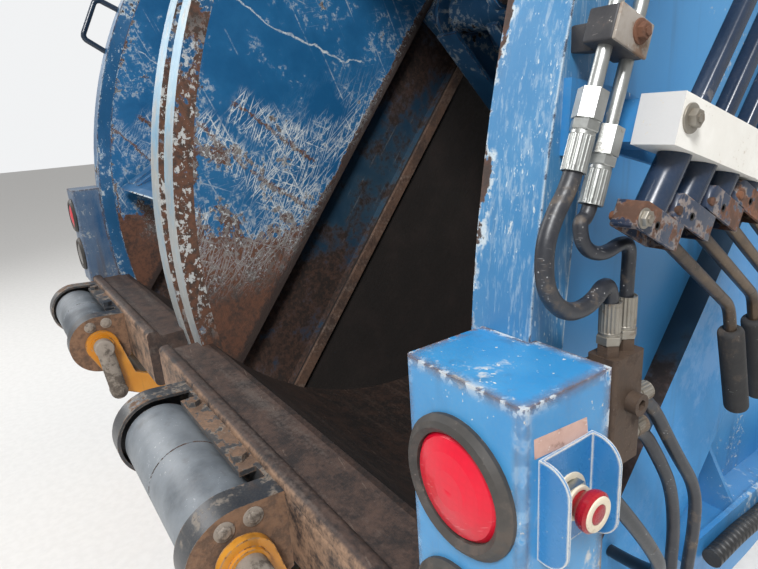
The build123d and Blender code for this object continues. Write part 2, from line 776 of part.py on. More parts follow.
facts = {}
lift_barrels = []
for side, (x_low, x_high) in hoppers.items():
    down = left_carrier_down if side == "left" else 0.0
    turn = sweep_angle if side == "left" else 0.0
    hinge = on_track(hinge_along - down, slot_width / 2)
    body, local, inner_low, inner_high, middle, pin_point = carrier_frame(hinge, x_low, x_high)
    nodes[f"carrier_{side}"] = body
    rods, barrels = lift_cylinders(hinge, inner_low, inner_high)
    nodes[f"carrier_rods_{side}"] = joined(rods)
    lift_barrels += barrels
    panel = sweep_panel(hinge, turn, inner_low + sweep_side_gap, inner_high - sweep_side_gap)
    nodes[f"sweep_panel_{side}"] = panel
    barrel, rod, length, angle, longest, shortest = sweep_cylinder(hinge, turn, middle, pin_point)
    nodes[f"sweep_barrel_{side}"] = barrel
    nodes[f"sweep_rod_{side}"] = rod
    facts[side] = (hinge, middle, pin_point, length, angle, longest, shortest)
nodes["carrier_barrels"] = joined(lift_barrels)

# Cross tubes with ears that hold the upper ends of the carrier cylinders
anchor_tube = 36.0
anchor_ear = 12.0
anchor_reach = 84.0
anchor_pin = on_track(hinge_along + anchor_along, slot_width / 2 + lift_pin_offset)
anchor_centre = local_step(anchor_pin, anchor_reach)


def cylinder_anchor(x_low, x_high):
    """Cross tube of one hopper with two pairs of ears and their pins."""
    tube = bar_x(anchor_centre, anchor_tube, x_low, x_high)
    ear_face = make_hull((Pos(*anchor_pin) * Circle(32)).edges() + (Pos(*anchor_centre) * Circle(34)).edges())
    inset = cheek_gap + cheek + lift_side_gap
    for x in (x_low + inset, x_high - inset):
        for outwards in (-1, 1):
            inside = x + outwards * 26
            outside = inside + outwards * anchor_ear
            tube += across(ear_face, min(inside, outside), max(inside, outside))
            tube += bar_x(anchor_pin, 16, min(outside, outside + outwards * 8), max(outside, outside + outwards * 8))
    return tube


nodes["cylinder_anchors"] = joined([cylinder_anchor(*span) for span in hoppers.values()])

# Lamp boxes

edge_cylinder = bar_x(edge_centre, edge_radius + seat, 0, 1500)


def lamp_box():
    """Sheet box at the right rear corner, cut to seat on the curved post, with lamp holes."""
    x_in = box_outer_x - box_width
    body = block((x_in, box_outer_x), (box_rear_y, box_front_y), (box_bottom_z, box_top_z))
    body = fillet(body.edges().filter_by(Axis.Z).sort_by(Axis.Y)[:2], radius=6)
    body -= block(
        (x_in + box_sheet, box_outer_x - box_sheet), (box_rear_y + box_sheet, box_front_y - box_sheet),
        (box_bottom_z + box_sheet, box_top_z - box_sheet),
    )
    body -= edge_cylinder & block((1000, outer_x + seat), (-2000, 0), (-400, 400))
    for z in (stop_lamp_z, lower_lamp_z):
        body -= Pos(lamp_x, box_rear_y, z) * Rot(90, 0, 0) * Cylinder(grommet_hole, 20)
    return body


def turned_y(profile, x, y, z):
    """Revolve a profile of (radius, distance forward) about an axis along Y."""
    face = Plane(origin=(x, y, z), x_dir=(1, 0, 0), z_dir=(0, 0, 1)) * polygon(profile)
    return revolve(face, axis=Axis((x, y, z), (0, 1, 0)))


grommet_profile = [
    (lens_radius + 0.3, -7), (lens_radius + 6, -12), (grommet_radius - 5, -9), (grommet_radius, -4),
    (grommet_radius, 0), (grommet_hole, 0), (grommet_hole, box_sheet + 6), (lens_radius + 0.3, box_sheet + 6),
]
lens_profile = [
    (0, -14), (18, -13.2), (34, -10.5), (lens_radius - 4, -7), (lens_radius, -3), (lens_radius, 9), (0, 9),
]

stop_y = -1849.0
stop_z = 174.0
box_right = lamp_box()
nodes["lamp_box_left"] = mirrored(box_right)
nodes["lamp_box_right"] = box_right - bar_x((stop_y, stop_z), 11.5, box_outer_x - 20, box_outer_x + 1)
grommets, stop_lamps, lower_lamps = [], [], []
for x in (-lamp_x, lamp_x):
    for z in (stop_lamp_z, lower_lamp_z):
        grommets.append(turned_y(grommet_profile, x, box_rear_y, z))
    stop_lamps.append(turned_y(lens_profile, x, box_rear_y, stop_lamp_z))
    lower_lamps.append(turned_y(lens_profile, x, box_rear_y, lower_lamp_z))
nodes["lamp_grommets"] = joined(grommets)
nodes["stop_lamps"] = joined(stop_lamps)
nodes["lower_lamps"] = joined(lower_lamps)

# Emergency stop on the right lamp box
guard_half = 33.0
guard_sheet = 3.0
guard_out = 29.0
guard_low = 128.0
guard_high = 221.0

guard = block(
    (box_outer_x, box_outer_x + guard_sheet), (stop_y - guard_half, stop_y + guard_half), (guard_low, guard_high),
)
guard -= Pos(box_outer_x, stop_y, stop_z) * Rot(0, 90, 0) * Cylinder(11.5, 20)
wing = Pos(box_outer_x + guard_out / 2, (guard_low + guard_high) / 2) * Rectangle(guard_out, guard_high - guard_low)
wing = fillet(wing.vertices().sort_by(Axis.X)[-2:], radius=22)
for y in (stop_y - guard_half, stop_y + guard_half - guard_sheet):
    guard += extrude(Plane.XZ.offset(-y) * wing, amount=guard_sheet, dir=(0, 1, 0))
nodes["estop_guard"] = guard


def turned_x(profile, x, y, z):
    """Revolve a profile of (distance outwards, radius) about an axis along X."""
    face = Plane(origin=(x, y, z), x_dir=(1, 0, 0), z_dir=(0, -1, 0)) * polygon(profile)
    return revolve(face, axis=Axis((x, y, z), (1, 0, 0)))


stop_face = box_outer_x + guard_sheet
hexagon = Plane(origin=(stop_face, stop_y, stop_z), x_dir=(0, 1, 0), z_dir=(1, 0, 0)) * RegularPolygon(17.5, 6)
nodes["estop_nut"] = extrude(hexagon, amount=9, dir=(1, 0, 0)) - bar_x((stop_y, stop_z), 11.2, 1190, 1230)
nodes["estop_button"] = turned_x(
    [(-10, 0), (-10, 11), (12, 11), (14, 12), (19, 16.5), (22, 17.5), (26, 17.5), (28, 15.5), (28, 0)], stop_face, stop_y, stop_z,
)

# Hand levers on the right side

lever_x = 1170.0
lever_count = 4
lever_pitch = 48.0
guide_slope = -16.6
guide_rear = (-1706.0, 483.0)
guide_height = 43.0
guide_length = 236.0
guide_x = (1151.0, 1190.0)
shaft_size = 16.0
shaft_length = 800.0
shaft_round = 4.0
shaft_first = 40.0
guide_dir = (cos(radians(guide_slope)), sin(radians(guide_slope)))


def along_guide(run, drop):
    """Point on the guide block, along it from its rear top corner and down across it."""
    return (
        guide_rear[0] + run * guide_dir[0] + drop * guide_dir[1],
        guide_rear[1] + run * guide_dir[1] - drop * guide_dir[0],
    )


shaft_starts = []
for number in range(lever_count):
    shaft_starts.append(along_guide(shaft_first + number * lever_pitch, guide_height))

guide = across(polygon([
    along_guide(0, 0), along_guide(guide_length, 0),
    along_guide(guide_length, guide_height), along_guide(0, guide_height),
]), *guide_x)
shafts, grips = [], []
slot_room = 1.0
clevis_half = 14.0
clevis_gap = 8.0
rod_radius = 6.5
grip_radius = 13.5
for start in shaft_starts:
    low = (start[0] - 62 * track_u[0], start[1] - 62 * track_u[1])
    high = (start[0] + shaft_length * track_u[0], start[1] + shaft_length * track_u[1])
    half = shaft_size / 2

    def shaft_face(margin):
        step = (half + margin, half + margin)
        side_a = (step[0] * track_v[0], step[1] * track_v[1])
        return polygon([
            (low[0] - side_a[0], low[1] - side_a[1]), (high[0] - side_a[0], high[1] - side_a[1]),
            (high[0] + side_a[0], high[1] + side_a[1]), (low[0] + side_a[0], low[1] + side_a[1]),
        ])
    guide -= across(shaft_face(slot_room), lever_x - half - slot_room, lever_x + half + slot_room)
    lever = across(shaft_face(0), lever_x - half, lever_x + half)
    lever = fillet(lever.edges().group_by(SortBy.LENGTH)[-1], radius=shaft_round)
    knuckle = (low[0] - 28, low[1] + 3)
    socket = (low[0] + 38, low[1] - 31)
    lever += across(make_hull(
        (Pos(*knuckle) * Circle(16)).edges() + (Pos(*socket) * Circle(21)).edges(),
    ), lever_x - clevis_half, lever_x + clevis_half)
    lever -= block(
        (lever_x - clevis_gap, lever_x + clevis_gap), (knuckle[0] - 20, knuckle[0] + 20), (knuckle[1] - 20, knuckle[1] + 5),
    )
    lever += bar_x(knuckle, 6, lever_x - clevis_half - 5, lever_x + clevis_half + 5)
    hexagon_end = Plane(origin=(lever_x + clevis_half, *knuckle), x_dir=(0, 1, 0), z_dir=(1, 0, 0))
    lever += extrude(hexagon_end * RegularPolygon(10, 6), amount=6, dir=(1, 0, 0))
    rod_points = [
        (lever_x, low[0] + 26, low[1] - 22), (lever_x, low[0] + 173, low[1] - 126),
        (lever_x, low[0] + 221, low[1] - 262),
    ]
    lever += pipe(rod_points, rod_radius, 40)
    shafts.append(lever)
    reach = (Vector(*rod_points[2]) - Vector(*rod_points[1])).normalized()
    grip_top = Vector(*rod_points[2]) - reach * 112
    grip_low = Vector(*rod_points[2]) + reach * 8
    grip = rod_between(tuple(grip_top), tuple(grip_low), grip_radius)
    grip = fillet(grip.edges().filter_by(GeomType.CIRCLE), radius=6)
    grips.append(grip - pipe(rod_points, rod_radius + 0.1, 40))
nodes["lever_guide"] = guide
nodes["control_levers"] = joined(shafts)
nodes["lever_grips"] = joined(grips)

bracket_x = (outer_x, guide_x[0])
lever_bracket = across(polygon([
    (-1760, 500), (guide_rear[0] + 20, 488), along_guide(guide_length, 4),
    along_guide(guide_length, guide_height - 4), (guide_rear[0] - 10, 438), (-1764, 436),
]), bracket_x[0], bracket_x[0] + 8)
lever_bracket += across(polygon([
    along_guide(4, 3), along_guide(40, 3), along_guide(40, guide_height - 3), along_guide(4, guide_height - 3),
]), *bracket_x)
lever_bracket += across(polygon([
    along_guide(guide_length - 34, 3), along_guide(guide_length - 4, 3),
    along_guide(guide_length - 4, guide_height - 3), along_guide(guide_length - 34, guide_height - 3),
]), *bracket_x)
nodes["lever_bracket"] = lever_bracket

# Valve bank that the levers work, high on the right side
valve_x = (1113.0, 1195.0)
valve_length = 150.0
valve = None
for number, start in enumerate(shaft_starts):
    low = local_step(start, shaft_length + 4)
    section = [
        (low[0] - 22 * guide_dir[0], low[1] - 22 * guide_dir[1]),
        (low[0] + 22 * guide_dir[0], low[1] + 22 * guide_dir[1]),
    ]
    section += [local_step(section[1], valve_length), local_step(section[0], valve_length)]
    piece = across(polygon(section), *valve_x)
    valve = piece if valve is None else valve + piece
end_low = local_step(shaft_starts[0], shaft_length + 20)
end_high = local_step(shaft_starts[-1], shaft_length + 20)
for base, outwards in ((end_low, -1), (end_high, 1)):
    inner = (base[0] + outwards * 22 * guide_dir[0], base[1] + outwards * 22 * guide_dir[1])
    outer = (base[0] + outwards * 50 * guide_dir[0], base[1] + outwards * 50 * guide_dir[1])
    valve += across(polygon([inner, outer, local_step(outer, 110), local_step(inner, 110)]), *valve_x)
foot_centre = local_step(along_guide(shaft_first + 72, guide_height), shaft_length + 75)
valve += across(polygon([
    (foot_centre[0] - 60, foot_centre[1] - 40), (foot_centre[0] + 60, foot_centre[1] - 40),
    (foot_centre[0] + 60, foot_centre[1] + 40), (foot_centre[0] - 60, foot_centre[1] + 40),
]), wall_inner_x + wall_sheet, valve_x[0])
nodes["valve_bank"] = valve

# Hydraulic tubes, clamp, hoses and relief valve beside the right post
tube_x = 1146.0
tube_radius = 6.0
nut_radius = 12.5
nut_length = 24.0
ferrule_radius = 10.0
ferrule_end = 62.0
clamp_thick = 34.0
clamp_width = 62.0
clamp_height = 36.0
clamp_post = 5.0
tube_rows = [
    # lower end, corner at the post, corner before the valve bank, end on the bank (all Y, Z)
    ((-1765.0, 488.0), (-1600.0, 930.0), (-1315.0, 1200.0), (-1167.0, 1156.0)),
    ((-1741.0, 458.0), (-1572.0, 925.0), (-1316.0, 1137.0), (-1207.0, 1104.5)),
]
ferrules = []
tubes = []
for route in tube_rows:
    low, high = route[0], route[1]
    direction = Vector(0, high[0] - low[0], high[1] - low[1]).normalized()
    start = Vector(tube_x, *low)
    tube = pipe([(tube_x, *point) for point in route], tube_radius, 60) - nodes["valve_bank"]
    nut = Plane(origin=start, z_dir=direction * -1) * RegularPolygon(nut_radius, 6)
    tube += extrude(nut, amount=nut_length)
    tube += rod_between(tuple(start - direction * nut_length), tuple(start - direction * ferrule_end), ferrule_radius)
    tubes.append(tube)
    ferrules.append([tuple(start - direction * ferrule_end), tuple(start - direction * (ferrule_end + 16))])
nodes["hydraulic_tubes"] = joined(tubes)

clamp_centre = Vector(tube_x, -1738, 534)
clamp_dir = Vector(0, tube_rows[0][1][0] - tube_rows[0][0][0], tube_rows[0][1][1] - tube_rows[0][0][1]).normalized()
clamp_plane = Plane(origin=clamp_centre - clamp_dir * clamp_height / 2, x_dir=(1, 0, 0), z_dir=clamp_dir)
clamp = extrude(clamp_plane * Rectangle(clamp_thick, clamp_width), amount=clamp_height)
clamp = fillet(clamp.edges().filter_by(Axis.X), radius=4)
clamp += block((outer_x, tube_x), (clamp_centre.Y - 14, clamp_centre.Y + 14), (clamp_centre.Z - 12, clamp_centre.Z + 12))
for low, high, bend, end in tube_rows:
    clamp -= rod_between((tube_x, *low), (tube_x, *high), tube_radius + 0.2)
nodes["hose_clamp"] = clamp

relief_y = (-1738.0, -1690.0)
relief_z = (128.0, 246.0)
port_y = (-1727.0, -1702.0)
port_top = 274.0
valve_body = block((1130, 1162), relief_y, relief_z)
valve_body = fillet(valve_body.edges().filter_by(Axis.Z), radius=4)
for y in port_y:
    foot = Plane(origin=(tube_x, y, relief_z[1])) * RegularPolygon(11, 6)
    valve_body += extrude(foot, amount=12)
    valve_body += Pos(tube_x, y, (relief_z[1] + port_top) / 2) * Cylinder(8.5, port_top - relief_z[1])
valve_body += Pos(1168, -1710, 196) * Rot(0, 90, 0) * Cylinder(11, 12)
valve_body -= Plane(origin=(1175, -1710, 196), z_dir=(-1, 0, 0)) * extrude(RegularPolygon(6, 6), amount=8)
valve_body += block((outer_x, 1130), (-1760, relief_y[1] + 6), (165, 228))
nodes["relief_valve"] = valve_body



def smooth_pipe(points, radius):
    """Hose along a route whose arcs are as large as its runs allow."""
    count = len(points)
    vectors = [Vector(*point) for point in points]
    radii = []
    for number in range(1, count - 1):
        before = vectors[number] - vectors[number - 1]
        after = vectors[number + 1] - vectors[number]
        turn_angle = radians(before.get_angle(after))
        shorter = min(before.length, after.length)
        radii.append(0.45 * shorter / (sin(turn_angle / 2) / cos(turn_angle / 2)))
    path = FilletPolyline(*points, radius=radii)
    return sweep(Plane(origin=path @ 0, z_dir=path % 0) * Circle(radius), path=path)


collar_x = wall_inner_x + slot_depth + channel_sheet


def on_side(y):
    """Height at which a hose enters the side beside the hopper's floor."""
    return hinge_down[1] - sqrt((floor_outer + skirt / 2) ** 2 - (y - hinge_down[0]) ** 2)


collar_ys = (-1560.0, -1520.0)
hose_rows = [
    # radius and route
    (8.0, [*ferrules[0], (1146, -1812, 392), (1148, -1826, 366), (1150, -1824, 330), (1150, -1797, 306),
           (1150, -1764, 306), (1148, -1738, 322), (1146, port_y[0], 302), (1146, port_y[0], port_top)]),
    (6.5, [*ferrules[1], (1147, -1780, 384), (1150, -1777, 360), (1152, -1752, 350), (1152, -1724, 357),
           (1149, -1706, 350), (1146, port_y[1], 322), (1146, port_y[1], port_top)]),
    (7.5, [(1146, relief_y[1], 146), (1146, -1664, 146), (1154, -1632, 92), (1154, -1600, 40), (1152, -1580, -30),
           (1151, -1578, -90), (1152, -1572, -160), (1150, collar_ys[0], on_side(collar_ys[0])),
           (collar_x + 22, collar_ys[0], on_side(collar_ys[0]))]),
    (7.5, [(1148, relief_y[1], 186), (1148, -1662, 186), (1157, -1606, 92), (1160, -1552, 20), (1158, -1542, -50),
           (1156, -1546, -110), (1152, -1534, -180), (1150, collar_ys[1], on_side(collar_ys[1])),
           (collar_x + 22, collar_ys[1], on_side(collar_ys[1]))]),
]
nodes["hydraulic_hoses"] = joined([smooth_pipe(route, radius) for radius, route in hose_rows])

# Bulkhead collars where the lower hoses go into the side, and the cable conduit
collar_profile = [(0, 7.9), (0, 16), (10, 16), (10, 12), (22, 12), (22, 7.9)]
nodes["hose_bulkhead"] = joined([turned_x(collar_profile, collar_x, y, on_side(y)) for y in collar_ys])
conduit_route = [
    (1133, -1420, -182), (1133, -1340, -178), (1133, -1250, -186), (1133, -1160, -178),
    (1133, -1060, -186), (1133, -960, -178), (1133, -790, -182),
]
nodes["conduit"] = smooth_pipe(conduit_route, 14)

# Grab handle on the left post
handle_x = -1100.0
handle_route = [
    (handle_x, -1584, 916), (handle_x, -1672, 962), (handle_x, -1745, 824), (handle_x, -1660, 766),
]
nodes["grab_handle"] = pipe(handle_route, 10, 22) - bar_x(edge_centre, edge_radius + seat, -1200, -1000)

# Cart lifters

bracket_top_z = sill_top_z
mount_plate = (-1930.0, -1898.0)
mount_bolt_half = 129.0
shaft_stub = 22.0
shaft_fit = 0.3
arm_gap = 6.0
arm_hub = 48.0
arm_half = 34.0


def side_outline():
    """D-shaped side plate of a lifter bracket, round about the actuator's axis."""
    foot = Line((sill_rear_y, bracket_top_z), (sill_rear_y, foot_z + 4))
    hull = make_hull((Pos(*lifter_axis) * Circle(bracket_round)).edges() + foot.edges())
    return hull & (Pos(sill_rear_y - 200, foot_z) * Rectangle(400, 800))


def lifter_bracket(x_low, x_high):
    """Two D plates with inward rims, a bolted top plate and the actuator's saddle."""
    centre_x = (x_low + x_high) / 2
    plate_face = side_outline()
    rim_face = plate_face - offset(plate_face, -7)
    bracket = block((x_low, x_high), (sill_rear_y - 8, sill_rear_y), (foot_z + 4, bracket_top_z))
    for x_plate, inwards in ((x_low, 1), (x_high, -1)):
        inner = x_plate + inwards * bracket_sheet
        reach = inner + inwards * bracket_rim
        bracket += across(plate_face, min(x_plate, inner), max(x_plate, inner))
        bracket += across(rim_face, min(inner, reach), max(inner, reach))
        bracket -= bar_x(lifter_axis, shaft_stub + shaft_fit, min(x_plate, inner) - 1, max(x_plate, inner) + 1)
    bracket += block(
        (centre_x - 168, centre_x + 168), (mount_plate[0], sill_rear_y - 8), (bracket_top_z - 10, bracket_top_z),
    )
    for x in (centre_x - mount_bolt_half, centre_x + mount_bolt_half):
        bolt = Plane(origin=(x, (mount_plate[0] + mount_plate[1]) / 2, bracket_top_z)) * RegularPolygon(15, 6)
        bracket += extrude(bolt, amount=13)
    saddle = block((centre_x - 130, centre_x + 130), (lifter_axis[0], sill_rear_y - 8), (foot_z + 10, lifter_axis[1] + 50))
    room = bar_x(lifter_axis, actuator_radius + shaft_fit, x_low + 20, x_high - 20)
    return bracket + saddle - room


def rotary_actuator(x_low, x_high):
    """Cylinder with a fine groove at its middle and a bearing neck at each end."""
    centre_x = (x_low + x_high) / 2
    groove = bar_x(lifter_axis, actuator_radius + 1, centre_x - 1.5, centre_x + 1.5)
    groove -= bar_x(lifter_axis, actuator_radius - 2, centre_x - 2, centre_x + 2)
    body = bar_x(lifter_axis, actuator_radius, centre_x - actuator_half, centre_x + actuator_half) - groove
    neck_end = bracket_sheet + 1
    body += bar_x(lifter_axis, 44, x_low + neck_end, x_high - neck_end)
    for outside, inwards in ((x_low, 1), (x_high, -1)):
        deep = outside + inwards * (bracket_sheet + 36)
        body -= bar_x(lifter_axis, shaft_stub + shaft_fit, min(outside, deep), max(outside, deep))
    return body


knee = from_point(lifter_axis, shank_length, shank_angle)


def lifter_point(run, rise):
    """Point along the stowed arm from its knee, and square to it towards the rear."""
    return from_point(from_point(knee, run, arm_angle), rise, arm_angle - 90)


def lifter_frame(x_low, x_high):
    """Arms on the actuator's shaft ends, cross tubes, face plate and cart hook."""
    centre_x = (x_low + x_high) / 2
    arm_face = make_hull((Pos(*lifter_axis) * Circle(arm_hub)).edges() + (Pos(*knee) * Circle(arm_half)).edges())
    arm_face += polygon([
        lifter_point(0, arm_half), lifter_point(arm_length, 52), lifter_point(arm_length + 30, 20),
        lifter_point(arm_length + 30, -arm_half), lifter_point(0, -arm_half),
    ])
    frame_body = None
    for x_plate, outwards in ((x_low, -1), (x_high, 1)):
        inside = x_plate + outwards * arm_gap
        outside = inside + outwards * lifter_arm
        stub_end = x_plate - outwards * (bracket_sheet + 34)
        arm = across(arm_face, min(inside, outside), max(inside, outside))
        arm += bar_x(lifter_axis, shaft_stub, min(stub_end, outside), max(stub_end, outside))
        arm += bar_x(lifter_axis, 34, min(outside, outside + outwards * 8), max(outside, outside + outwards * 8))
        frame_body = arm if frame_body is None else frame_body + arm
    span = (x_low - arm_gap, x_high + arm_gap)
    frame_body += across(polygon([
        lifter_point(70, 24), lifter_point(arm_length, 44), lifter_point(arm_length, 52), lifter_point(70, 32),
    ]), *span)
    frame_body += across(polygon([
        lifter_point(arm_length - 12, 50), lifter_point(arm_length + 24, 50), lifter_point(arm_length + 24, 96),
        lifter_point(arm_length + 12, 96), lifter_point(arm_length + 12, 60), lifter_point(arm_length - 12, 60),
    ]), centre_x - 150, centre_x + 150)
    frame_body += across(polygon([
        lifter_point(arm_length - 12, 40), lifter_point(arm_length + 24, 20),
        lifter_point(arm_length + 24, 52), lifter_point(arm_length - 12, 52),
    ]), centre_x - 150, centre_x + 150)
    frame_body += bar_x(lifter_point(30, 0), 30, *span)
    frame_body += bar_x(lifter_point(arm_length - 30, 4), 24, *span)
    return frame_body


for side, centre_x in lifter_centres.items():
    x_low, x_high = centre_x - lifter_half, centre_x + lifter_half
    nodes[f"lifter_bracket_{side}"] = lifter_bracket(x_low, x_high)
    nodes[f"actuator_{side}"] = rotary_actuator(x_low, x_high)
    nodes[f"lifter_{side}"] = lifter_frame(x_low, x_high)

os.makedirs("parts", exist_ok=True)
for name, shape in nodes.items():
    export_step(shape, f"parts/{name}.step")
    print(name, len(shape.solids()), round(shape.volume / 1e6, 3))
for side, values in facts.items():
    print(side, values)
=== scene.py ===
"""Looks of a two-hopper rear-loader tailgate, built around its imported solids."""

from __future__ import annotations

import logging
import math
from collections.abc import Callable
from dataclasses import dataclass, field
from enum import Enum
from functools import reduce
from operator import or_

import bmesh
import bpy
from mathutils import Matrix, Vector

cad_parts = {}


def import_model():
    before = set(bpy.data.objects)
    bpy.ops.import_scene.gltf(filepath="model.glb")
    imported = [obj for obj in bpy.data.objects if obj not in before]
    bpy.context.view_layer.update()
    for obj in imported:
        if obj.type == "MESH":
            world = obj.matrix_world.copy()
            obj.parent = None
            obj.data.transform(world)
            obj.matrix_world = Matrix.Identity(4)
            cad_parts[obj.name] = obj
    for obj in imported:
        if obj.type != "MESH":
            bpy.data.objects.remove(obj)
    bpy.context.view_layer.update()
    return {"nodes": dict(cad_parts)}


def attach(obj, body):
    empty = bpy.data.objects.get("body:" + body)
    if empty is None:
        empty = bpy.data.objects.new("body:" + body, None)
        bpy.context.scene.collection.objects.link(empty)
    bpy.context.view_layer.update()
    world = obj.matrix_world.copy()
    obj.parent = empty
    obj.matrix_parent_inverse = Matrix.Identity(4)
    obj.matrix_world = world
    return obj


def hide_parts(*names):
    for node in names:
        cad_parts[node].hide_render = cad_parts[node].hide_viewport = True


LOG = logging.getLogger("tailgate")
Colour = tuple[float, float, float]
Point = tuple[float, float, float]
Flat = tuple[float, float]
Test = Callable[[Vector, Vector], bool]
Piece = bpy.types.Object
Socket = bpy.types.NodeSocket
ROOT_BODY = "tailgate"

# Side plane, in (Y, Z): slope and a point of the packer's lower edge, and the arc of the opening's rear edge
TRACK_ANGLE = math.radians(52.0)
TRACK_DATUM = (-1.491, 0.077)
ARC_CENTRE = (-0.221, 0.143)
ARC_RADIUS = 1.585

# Sides of a round piece, from small to large, and what a face's height may be off
PIN_SIDES, ROUND_SIDES, GRIP_SIDES = 28, 32, 40
SLACK = 0.0005

# Colours that several finishes share
CLEAN_BLUE = (0.036, 0.225, 0.51)
CLEAN_FADED = (0.06, 0.275, 0.56)
PALE_DUST = (0.3, 0.265, 0.225)
BROWN_DUST = (0.3, 0.25, 0.2)
WALL_DUST = (0.28, 0.23, 0.18)
# Near black, used as painted shade inside the hopper
PAINTED_SHADE_BLACK = (0.006, 0.004, 0.003)
GREASY_METAL = (0.16, 0.17, 0.17)
PACKED_RUST = (0.06, 0.03, 0.02)
WET_RUST = (0.016, 0.01, 0.008)
SCORED_STEEL = (0.2, 0.16, 0.13)
LENS_HAZE = (0.8, 0.45, 0.45)


class Kind(Enum):
    """Shader nodes that the finishes are made of."""

    BSDF = "ShaderNodeBsdfPrincipled"
    OUTPUT = "ShaderNodeOutputMaterial"
    COORDS = "ShaderNodeTexCoord"
    MAPPING = "ShaderNodeMapping"
    NOISE = "ShaderNodeTexNoise"
    VORONOI = "ShaderNodeTexVoronoi"
    WAVE = "ShaderNodeTexWave"
    MATH = "ShaderNodeMath"
    RANGE = "ShaderNodeMapRange"
    MIX = "ShaderNodeMix"
    BUMP = "ShaderNodeBump"
    BEVEL = "ShaderNodeBevel"
    GEOMETRY = "ShaderNodeNewGeometry"
    VECTOR = "ShaderNodeVectorMath"
    SPLIT = "ShaderNodeSeparateXYZ"


class Lie(Enum):
    """Plane in which a piece's scratches run."""

    SIDE = "side"
    REAR = "rear"
    FLAT = "flat"


class Signal:
    """A number that varies over a surface, used in plain expressions."""

    def __init__(self, shader: Shader, socket: Socket) -> None:
        """Keep the output socket that carries the number, and its shader."""
        self.shader = shader
        self.socket = socket

    def apply(self, operation: str, first: object, second: object, clamp: bool = False) -> Signal:
        """Add one Math node that works on two numbers or signals."""
        node = self.shader.add(Kind.MATH, {0: first, 1: second}, operation=operation, use_clamp=clamp)
        return Signal(self.shader, node.outputs[0])

    def __add__(self, other: object) -> Signal:
        """Sum."""
        return self.apply("ADD", self, other)

    def __sub__(self, other: object) -> Signal:
        """Difference."""
        return self.apply("SUBTRACT", self, other)

    def __rsub__(self, other: object) -> Signal:
        """Difference, reflected."""
        return self.apply("SUBTRACT", other, self)

    def __mul__(self, other: object) -> Signal:
        """Product."""
        return self.apply("MULTIPLY", self, other)

    def __or__(self, other: object) -> Signal:
        """The larger of two masks."""
        return self.apply("MAXIMUM", self, other)

    __radd__ = __add__
    __rmul__ = __mul__

    def away(self, value: float) -> Signal:
        """Distance of the number from a value."""
        return self.apply("ABSOLUTE", self - value, 0.0)

    def root(self) -> Signal:
        """Square root."""
        return self.apply("SQRT", self, 0.0)

    def sine(self) -> Signal:
        """Sine."""
        return self.apply("SINE", self, 0.0)

    def limited(self) -> Signal:
        """The number kept between 0 and 1."""
        return self.apply("ADD", self, 0.0, clamp=True)

    def rise(self, low: float, high: float) -> Signal:
        """Smooth step that is 0 below one value and 1 above another.

        Args:
            low: Value where the step starts; above high it falls instead of rising.
            high: Value where the step ends.

        Returns:
            The step.
        """
        ends = (0.0, 1.0) if low < high else (1.0, 0.0)
        node = self.shader.add(
            Kind.RANGE, {"Value": self, "From Min": min(low, high), "From Max": max(low, high),
                         "To Min": ends[0], "To Max": ends[1]},
            interpolation_type="SMOOTHSTEP", clamp=True,
        )
        return Signal(self.shader, node.outputs["Result"])


